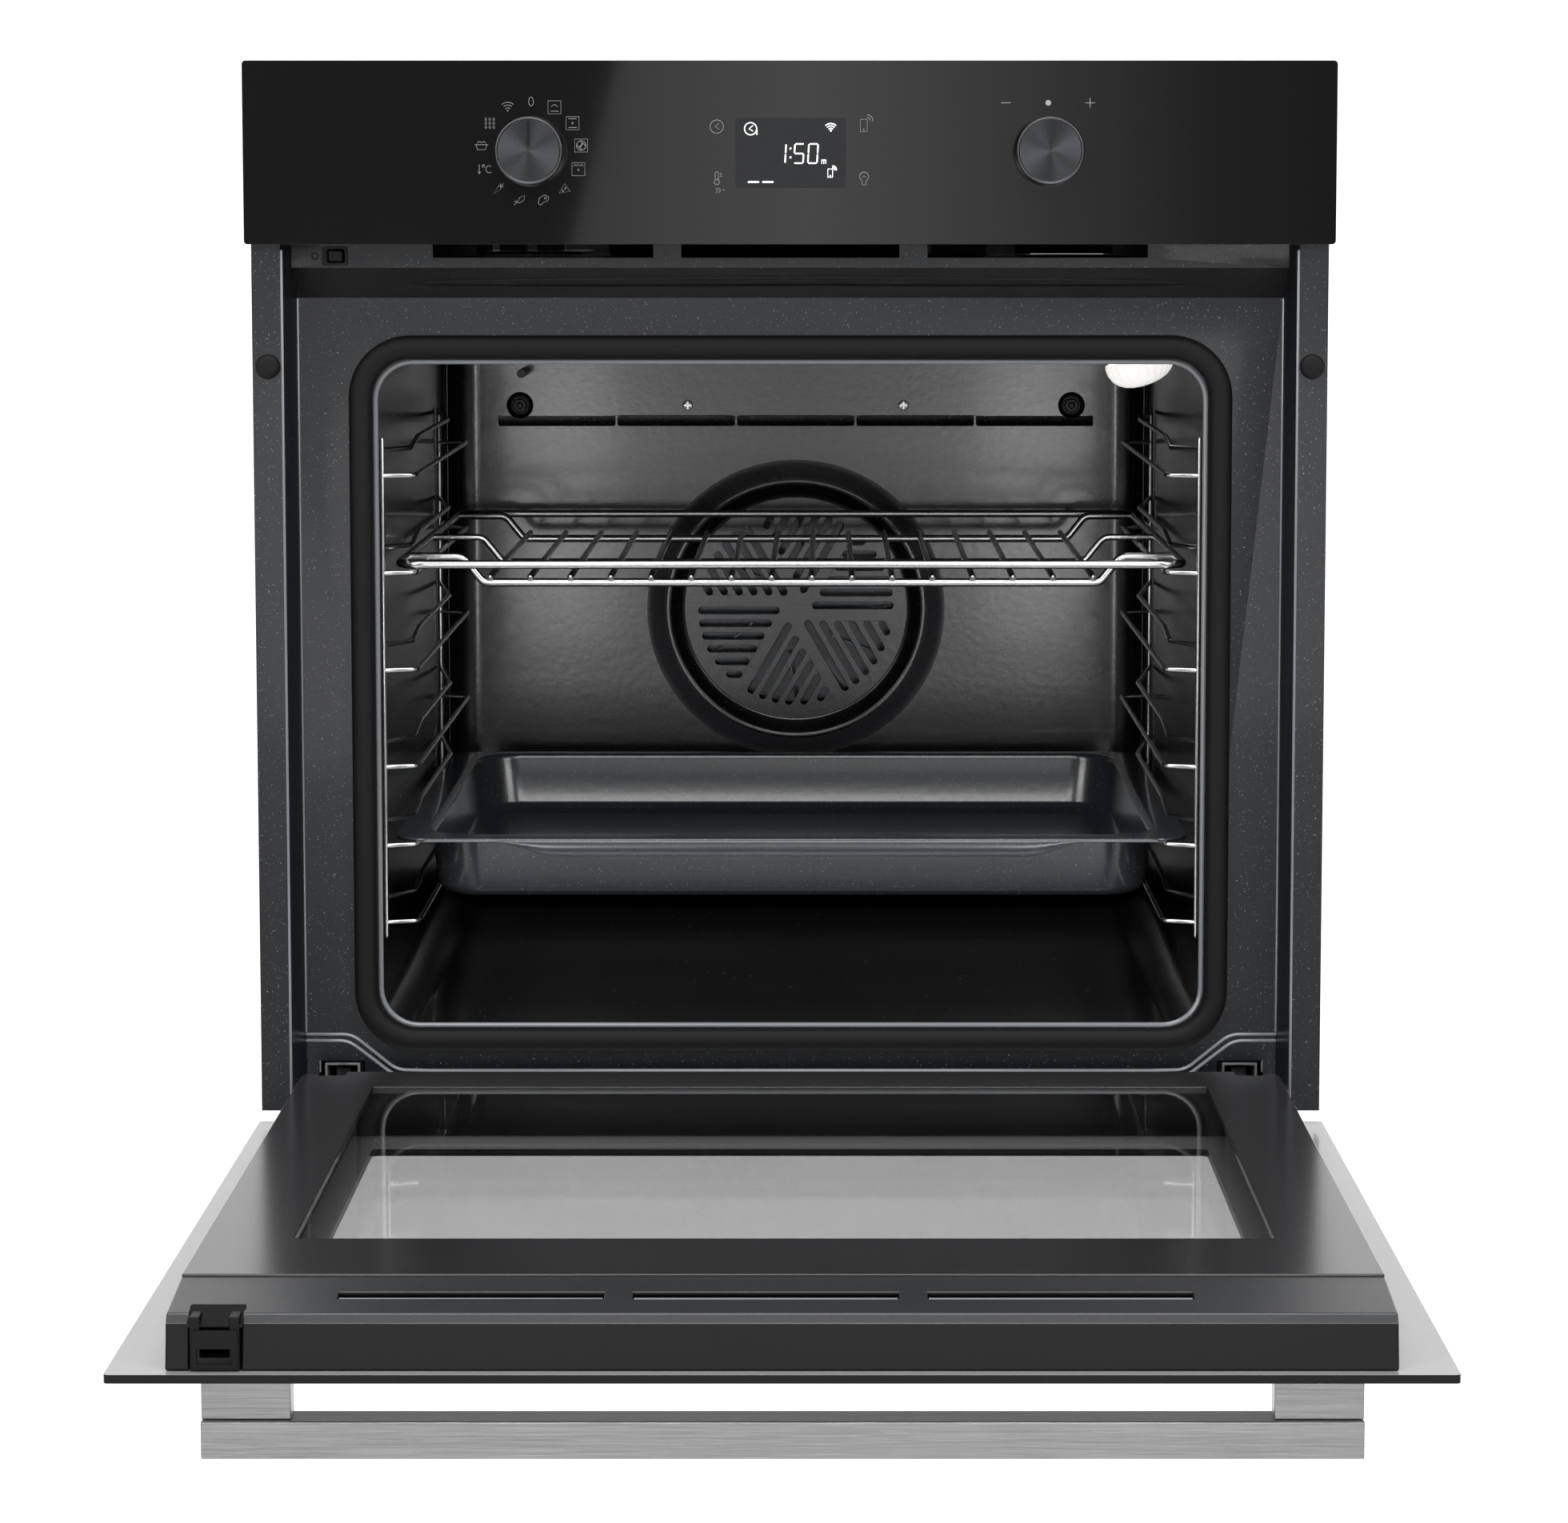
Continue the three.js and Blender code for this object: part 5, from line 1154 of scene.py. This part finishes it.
def build_door_frame():
    """The door's rails, bars, top trim and latch strike."""
    for node in ("door_rail_left", "door_rail_right", "door_lower_bar", "door_upper_bar"):
        soften(node, "oven_black_plastic", 0.6, segments=2)
    trim = soften("door_top_trim", ("oven_black_plastic", "oven_trim_paint"), 0.9, 20, 4)
    # upward faces of the trim take the lighter plastic as painted sheen
    second_finish(trim, lambda at, way: way.z > 0.5)
    # pale strips sunk a little into the trim's slots, standing in for light seen through them: painted light
    slot_light_strips = Form()
    for i in (-1, 0, 1):
        x = i * 131.1 - 7.5
        slot_light_strips.prism([(x - 58.7, -731.6, 17.0), (x + 58.7, -731.6, 17.0), (x + 58.7, -728.4, 17.3),
                      (x - 58.7, -728.4, 17.3)], (0, 0, 0.6))
    make(slot_light_strips, "door_slot_painted_light", "door", "oven_grey_plastic", edge=0.2, segments=1)
    soften("door_latch_strike", "oven_black_plastic", 0.6)
    # cover over the strike's seat, with the framed window of its pocket
    x = -249.0
    cover = Form().prism([(x - 12.4, -754.1, 11.6), (x + 12.4, -754.1, 11.6), (x + 12.4, -740.6, 17.0),
                          (x - 12.4, -740.6, 17.0)], (0, -0.3, 1.0))
    cover.sheet(rounded(x - 10.2, x + 10.2, -6.4, 10.6, 1, 3), [rounded(x - 8.0, x + 8.0, -4.6, 2.2, 0.6, 3)],
                -0.9, 0.3, upright(-754.4))
    cover.sheet(rounded(x - 10.2, x + 10.2, 2.6, 10.6, 1, 3), [], -1.3, -0.6, upright(-754.2))
    make(cover, "strike_cover", "door", "oven_black_plastic", edge=0.4)


def build_handle():
    """Brushed handle and its posts."""
    edge = bpy.context.scene.oven_sizes.handle_edge / MM
    for node in ("handle_bar", "handle_post_left", "handle_post_right"):
        soften(node, "oven_brushed_steel", edge, segments=3)


def build_side_racks():
    """Side racks of round wire."""
    wire = bpy.context.scene.oven_sizes.rack_wire / MM / 2
    post, front, back = 229.5, -233.5, 99.5
    rungs = (351.7, 296.7, 241.7, 186.7, 141.8, 97.8)
    for node, s in (("side_rack_left", -1), ("side_rack_right", 1)):
        strokes = []
        for y in (front, back):
            strokes.append(([(s * post, y, 90.0), (s * post, y, 372.0)], wire, False))
        for z in rungs:
            strokes.append((bent([(s * post, front, z), (s * 211.4, front + 6, z), (s * 211.4, back - 6, z),
                                  (s * post, back, z)], 5, 6), wire, False))
            strokes.append((bent([(s * post, front, z + 14.5), (s * 215.4, front + 22, z + 14.5),
                                  (s * 215.4, front + 60, z + 19), (s * 215.4, back - 90, z + 19),
                                  (s * post, back, z + 19)], 9, 6), wire, False))
        wire_piece(node + "_wires", "oven", "oven_chrome", (node,), strokes, 10)


def build_shelf():
    """Wire shelf."""
    wire = bpy.context.scene.oven_sizes.shelf_wire / MM / 2
    x, y0, y1, z, low = 222.0, -226.0, 156.0, 301.0, 289.0
    strokes = [(bent([(0, y0, z), (x, y0, z), (x, y1, z), (-x, y1, z), (-x, y0, z)], 15, 8, True), wire,
                True)]
    for y, share in ((y0 + 52, 1), (y1 - 18, 1), ((y0 + y1) / 2, 0.8)):
        strokes.append((bent([(-x, y, z), (-x + 32, y, z), (-x + 44, y, low - 3), (x - 44, y, low - 3),
                              (x - 32, y, z), (x, y, z)], 8, 6), wire * share, False))
    pitch = (2 * x - 96) / 15
    for i in range(16):
        at = (i - 7.5) * pitch
        strokes.append(([(at, y0 + 48, low + 0.6), (at, y1 - 14, low + 0.6)], 1.8, False))
    wire_piece("shelf_wires", "shelf", "oven_chrome", ("wire_shelf",), strokes, 14)


def build_tray():
    """Baking tray and its rolled front edge."""
    low, high = extents("baking_tray")
    half, y0, y1, top = high.x, low.y + 0.5, high.y, high.z
    plan = [(0, 20, -0.9), (0.35, 20, -0.15), (1.2, 20, 0), (15.5, 26, 0), (17.6, 27, -0.3), (18.9, 27, -1.6),
            (19.6, 27, -4), (22.0, 27, -31), (22.9, 26.5, -32.8), (25.2, 25, -34.6), (28.8, 22, -35.9),
            (33.5, 18, -36.5)]

    def ring(inset, radius, z):
        share = min(1, max(0, inset / 19.6))
        return [(a, b, z) for a, b in rounded(
            -half + inset, half - inset, y0 + inset * (1 + 0.02 * share), y1 - inset + 9.4 * share, radius, 10)]
    upper = [ring(inset, radius, top + z) for inset, radius, z in plan]
    lower = [ring(max(inset - 1.25, 0.2), radius + 1, top + z - (1.35 if inset < 18 or inset > 24 else 0.4))
             for inset, radius, z in plan]
    make(Form().loft(upper[::-1] + lower), "tray_pan", "tray", "oven_tray_enamel", ("baking_tray",), angle=50)
    # rolled front edge, deeper in the middle
    rings = []
    for i in range(73):
        x = -(half - 18) + (2 * half - 36) * i / 72
        t = min(1, max(0, (168 - abs(x)) / 34))
        drop = 1.6 + 8.0 * t * t * (3 - 2 * t)
        rings.append([(x, y0 + 1.6, top - 0.2), (x, y0 + 0.5, top - 0.5), (x, y0 - 0.1, top - 1.4),
                      (x, y0 - 0.3, top - drop), (x, y0 + 0.1, top - drop - 0.6),
                      (x, y0 + 0.8, top - drop - 0.5), (x, y0 + 1.1, top - drop),
                      (x, y0 + 1.4, top - 1.8), (x, y0 + 2.6, top - 1.2)])
    make(Form().loft(rings), "tray_front_roll", "tray", "oven_tray_enamel", angle=60)


def build_stage():
    """Camera, room, paper sweep, mirrored card and lights."""
    place_camera()
    light_room()
    lay_sweep()
    hang_card()
    hang_lights()


def place_camera():
    """Camera in front of the oven, looking slightly down."""
    scene = bpy.context.scene
    camera = bpy.data.objects.new("camera", bpy.data.cameras.new("camera"))
    camera.location = (0.0174, -2.4556, 0.4977)
    camera.rotation_euler = (math.radians(90 - 5.17), 0, 0)
    camera.data.lens, camera.data.sensor_width = 91.02, 36.0
    camera.data.shift_x, camera.data.shift_y = -0.0241, -0.12
    camera.data.clip_start, camera.data.clip_end = 0.05, 60.0
    camera.data.dof.use_dof = False
    scene.collection.objects.link(camera)
    scene.camera = camera
    scene.view_settings.view_transform = "Standard"


def light_room():
    """Dim even light from all round."""
    scene = bpy.context.scene
    world = bpy.data.worlds.new("studio")
    scene.world = world
    world.use_nodes = True
    room = world.node_tree.nodes["Background"]
    room.inputs["Color"].default_value = tone(1.0)
    room.inputs["Strength"].default_value = scene.oven_sizes.room_light


def stage_piece(name, points, faces, finish):
    """Adds a piece of the studio, which isn't part of the oven."""
    mesh = bpy.data.meshes.new(name)
    mesh.from_pydata(points, [], faces)
    mesh.materials.append(finish.material)
    piece = bpy.data.objects.new(name, mesh)
    bpy.context.scene.collection.objects.link(piece)
    return piece


def lay_sweep():
    """Pale paper floor that turns up behind the oven and darkens toward the camera."""
    paper = Finish("studio_paper", {"Roughness": 0.9, "Emission Strength": 0.7})
    spot = paper.node("ShaderNodeTexCoord", output="Object")
    reach = paper.node("ShaderNodeSeparateXYZ", {}, {0: spot}, output=1)
    near = paper.node("ShaderNodeMapRange", {"interpolation_type": "SMOOTHSTEP"}, {
        "Value": reach, "From Min": -2.0, "From Max": 0.3, "To Min": 0.0, "To Max": 1.0})
    paper.set("Emission Color", paper.blend(near, tone(0.08), tone(1.0)))
    paper.set("Base Color", paper.blend(near, tone(0.4), tone(0.8)))
    floor, depth, bend = -450.0, 3200.0, 900.0
    line = [(-7000.0, floor), (depth - bend, floor)]
    line += [(depth - bend + bend * math.sin(t), floor + bend - bend * math.cos(t))
             for t in (math.radians(a) for a in range(10, 91, 10))]
    line.append((depth, 5200.0))
    points = [Vector((x, y, z)) * MM for x in (-8000.0, 8000.0) for y, z in line]
    size = len(line)
    faces = [[i, i + 1, size + i + 1, size + i] for i in range(size - 1)]
    stage_piece("studio_sweep", points, faces, paper).data.shade_smooth()


def hang_card():
    """Slanted bright card behind the camera, mirrored in the panel's glass."""
    card = Finish("studio_card", {"Base Color": tone(0.0), "Roughness": 1.0, "Specular IOR Level": 0.0,
                                  "Emission Color": tone(1.0)})
    here = card.node("ShaderNodeTexCoord", output="Object")
    across = card.node("ShaderNodeSeparateXYZ", {}, {0: here}, output=0)
    card.set("Emission Color", card.node("ShaderNodeValToRGB", {"stops": [
        (0.0, tone(0.0)), (0.305, tone(0.45)), (0.5, tone(0.85)), (0.78, tone(0.15)), (1.0, tone(0.0))]},
        {0: across * 0.5 + 0.5}))
    card.set("Emission Strength", bpy.context.scene.oven_sizes.card_light)
    corners = [(-0.373, 0, 0.32), (1.3, 0, 0.32), (1.3, 0, 0.95), (-0.213, 0, 0.95)]
    stage_piece("studio_card", corners, [[3, 2, 1, 0]], card).location = (0, -3.79, 0)


def hang_lights():
    """Soft lights: each with its place, the point it faces, its size and its power."""
    for name, place, aim, width, height, power in (
            ("key_left", (-1.7, -2.3, 1.5), (0, 0.0, 0.2), 0.9, 1.5, 20),
            ("key_right", (1.7, -2.3, 1.5), (0, 0.0, 0.2), 0.9, 1.5, 20),
            ("top_bank", (0, -1.1, 2.2), (0, -0.35, 0.1), 1.8, 1.0, 26),
            ("front_fill", (0, -3.2, 1.7), (0, 0, 0.25), 1.6, 0.6, 16),
            ("low_card_left", (-0.5, -3.0, 0.1), (-0.1, 0.19, 0.27), 0.42, 0.46, 4.2),
            ("low_card_right", (0.46, -3.0, 0.1), (0.1, 0.19, 0.27), 0.42, 0.46, 4.2)):
        light = bpy.data.lights.new(name, "AREA")
        light.shape, light.size, light.size_y, light.energy = "RECTANGLE", width, height, power
        lamp = bpy.data.objects.new(name, light)
        lamp.location = place
        lamp.rotation_euler = (Vector(aim) - Vector(place)).to_track_quat("-Z", "Y").to_euler()
        bpy.context.scene.collection.objects.link(lamp)


# ---- Settings a user may change ----------------------------------------------------------------
class OvenSizes(bpy.types.PropertyGroup):
    """Sizes and light of the oven's look."""
    frame_edge: bpy.props.FloatProperty(
        name="Frame edge", description="Roundness of the enamelled front frame's edges", default=0.0011,
        min=0.0001, max=0.003, subtype="DISTANCE", unit="LENGTH", precision=4)
    glass_edge: bpy.props.FloatProperty(
        name="Glass edge", description="Roundness of the glass edges", default=0.0006,
        min=0.0001, max=0.0019, subtype="DISTANCE", unit="LENGTH", precision=4)
    handle_edge: bpy.props.FloatProperty(
        name="Handle edge", description="Roundness of the handle's edges", default=0.0006,
        min=0.0001, max=0.004, subtype="DISTANCE", unit="LENGTH", precision=4)
    rack_wire: bpy.props.FloatProperty(
        name="Rack wire", description="Thickness of the side racks' wire", default=0.003,
        min=0.002, max=0.004, subtype="DISTANCE", unit="LENGTH", precision=4)
    shelf_wire: bpy.props.FloatProperty(
        name="Shelf wire", description="Thickness of the shelf's frame wire", default=0.005,
        min=0.003, max=0.006, subtype="DISTANCE", unit="LENGTH", precision=4)
    room_light: bpy.props.FloatProperty(
        name="Room light", description="Brightness of the room round the studio", default=0.16,
        min=0.0, max=2.0)
    card_light: bpy.props.FloatProperty(
        name="Card light", description="Brightness of the card mirrored in the panel", default=1.7,
        min=0.0, max=10.0)


class OvenColours(bpy.types.PropertyGroup):
    """Main colours of the oven."""
    enamel: bpy.props.FloatVectorProperty(
        name="Enamel", description="Enamel of the front frame", default=srgb("#14171c")[:3],
        min=0, max=1, subtype="COLOR")
    cavity: bpy.props.FloatVectorProperty(
        name="Cavity", description="Enamel inside the oven", default=srgb("#0c0c0e")[:3],
        min=0, max=1, subtype="COLOR")
    tray: bpy.props.FloatVectorProperty(
        name="Tray", description="Enamel of the baking tray", default=srgb("#31363b")[:3],
        min=0, max=1, subtype="COLOR")
    glass: bpy.props.FloatVectorProperty(
        name="Glass", description="Black of the panel and door glass", default=srgb("#0d0d0e")[:3],
        min=0, max=1, subtype="COLOR")
    steel: bpy.props.FloatVectorProperty(
        name="Handle steel", description="Steel of the handle", default=srgb("#d0d0d1")[:3],
        min=0, max=1, subtype="COLOR")
    trim: bpy.props.FloatVectorProperty(
        name="Trim", description="Black plastic of the door", default=srgb("#0c0c0d")[:3],
        min=0, max=1, subtype="COLOR")


# ---- Operators ---------------------------------------------------------------------------------
class OVEN_OT_stage(bpy.types.Operator):
    """Sets up the camera, the pale sweep and the soft lights."""
    bl_idname = "oven.stage"
    bl_label = "Stage"

    def execute(self, context):
        build_stage()
        return {"FINISHED"}


class OVEN_OT_casing(bpy.types.Operator):
    """Builds the zinc casing, its rear screws and the terminal block."""
    bl_idname = "oven.casing"
    bl_label = "Casing"

    def execute(self, context):
        build_casing()
        return {"FINISHED"}


class OVEN_OT_front_frame(bpy.types.Operator):
    """Builds the enamelled front frame with its pressed ribs and bumpers."""
    bl_idname = "oven.front_frame"
    bl_label = "Front frame"

    def execute(self, context):
        build_front_frame()
        return {"FINISHED"}


class OVEN_OT_cavity(bpy.types.Operator):
    """Builds the cavity, its back wall, fan cover, seal, lamp and probe."""
    bl_idname = "oven.cavity"
    bl_label = "Cavity"

    def execute(self, context):
        build_cavity()
        return {"FINISHED"}


class OVEN_OT_heating(bpy.types.Operator):
    """Builds the heating elements, the hot-air fan and its motor."""
    bl_idname = "oven.heating"
    bl_label = "Heating"

    def execute(self, context):
        build_heating()
        return {"FINISHED"}


class OVEN_OT_airway(bpy.types.Operator):
    """Builds the cooling blower, duct, compartment floor and insulation."""
    bl_idname = "oven.airway"
    bl_label = "Airway"

    def execute(self, context):
        build_airway()
        return {"FINISHED"}


class OVEN_OT_control_panel(bpy.types.Operator):
    """Builds the glass control panel, its marks, display and electronics."""
    bl_idname = "oven.control_panel"
    bl_label = "Control panel"

    def execute(self, context):
        build_control_panel()
        return {"FINISHED"}


class OVEN_OT_knobs(bpy.types.Operator):
    """Builds the two spun-metal knobs."""
    bl_idname = "oven.knobs"
    bl_label = "Knobs"

    def execute(self, context):
        build_knobs()
        return {"FINISHED"}


class OVEN_OT_latch(bpy.types.Operator):
    """Builds the door latch and its tongue."""
    bl_idname = "oven.latch"
    bl_label = "Latch"

    def execute(self, context):
        build_latch()
        return {"FINISHED"}


class OVEN_OT_hinges(bpy.types.Operator):
    """Builds the hinge arms, receivers and housings."""
    bl_idname = "oven.hinges"
    bl_label = "Hinges"

    def execute(self, context):
        build_hinges()
        return {"FINISHED"}


class OVEN_OT_door_glass(bpy.types.Operator):
    """Builds the door's three panes with their printed borders."""
    bl_idname = "oven.door_glass"
    bl_label = "Door glass"

    def execute(self, context):
        build_door_glass()
        return {"FINISHED"}


class OVEN_OT_door_frame(bpy.types.Operator):
    """Builds the door's rails, bars, top trim and strike."""
    bl_idname = "oven.door_frame"
    bl_label = "Door frame"

    def execute(self, context):
        build_door_frame()
        return {"FINISHED"}


class OVEN_OT_handle(bpy.types.Operator):
    """Builds the brushed steel handle and its posts."""
    bl_idname = "oven.handle"
    bl_label = "Handle"

    def execute(self, context):
        build_handle()
        return {"FINISHED"}


class OVEN_OT_side_racks(bpy.types.Operator):
    """Builds the two chromed side racks."""
    bl_idname = "oven.side_racks"
    bl_label = "Side racks"

    def execute(self, context):
        build_side_racks()
        return {"FINISHED"}


class OVEN_OT_shelf(bpy.types.Operator):
    """Builds the wire shelf."""
    bl_idname = "oven.shelf"
    bl_label = "Wire shelf"

    def execute(self, context):
        build_shelf()
        return {"FINISHED"}


class OVEN_OT_tray(bpy.types.Operator):
    """Builds the enamelled baking tray."""
    bl_idname = "oven.tray"
    bl_label = "Baking tray"

    def execute(self, context):
        build_tray()
        return {"FINISHED"}


PIECES = (OVEN_OT_stage, OVEN_OT_casing, OVEN_OT_front_frame, OVEN_OT_cavity, OVEN_OT_heating, OVEN_OT_airway,
          OVEN_OT_control_panel, OVEN_OT_knobs, OVEN_OT_latch, OVEN_OT_hinges, OVEN_OT_door_glass,
          OVEN_OT_door_frame, OVEN_OT_handle, OVEN_OT_side_racks, OVEN_OT_shelf, OVEN_OT_tray)


class OVEN_PT_panel(bpy.types.Panel):
    """Lists the oven's settings and pieces."""
    bl_idname = "OVEN_PT_panel"
    bl_label = "Wall oven"
    bl_space_type = "VIEW_3D"
    bl_region_type = "UI"
    bl_category = "Oven"

    def draw(self, context):
        layout = self.layout
        for group in (context.scene.oven_sizes, context.scene.oven_colours):
            box = layout.box()
            for key in group.bl_rna.properties.keys():
                if key not in ("rna_type", "name"):
                    box.prop(group, key)
        for piece in PIECES:
            layout.operator(piece.bl_idname)


CLASSES = (OvenSizes, OvenColours, *PIECES, OVEN_PT_panel)


def register():
    for each in CLASSES:
        bpy.utils.register_class(each)
    bpy.types.Scene.oven_sizes = bpy.props.PointerProperty(type=OvenSizes)
    bpy.types.Scene.oven_colours = bpy.props.PointerProperty(type=OvenColours)


def unregister():
    del bpy.types.Scene.oven_colours
    del bpy.types.Scene.oven_sizes
    for each in reversed(CLASSES):
        bpy.utils.unregister_class(each)


def main():
    """Builds everything in order."""
    register()
    for piece in PIECES:
        group, name = piece.bl_idname.split(".")
        getattr(getattr(bpy.ops, group), name)()


if __name__ == "__main__":
    main()
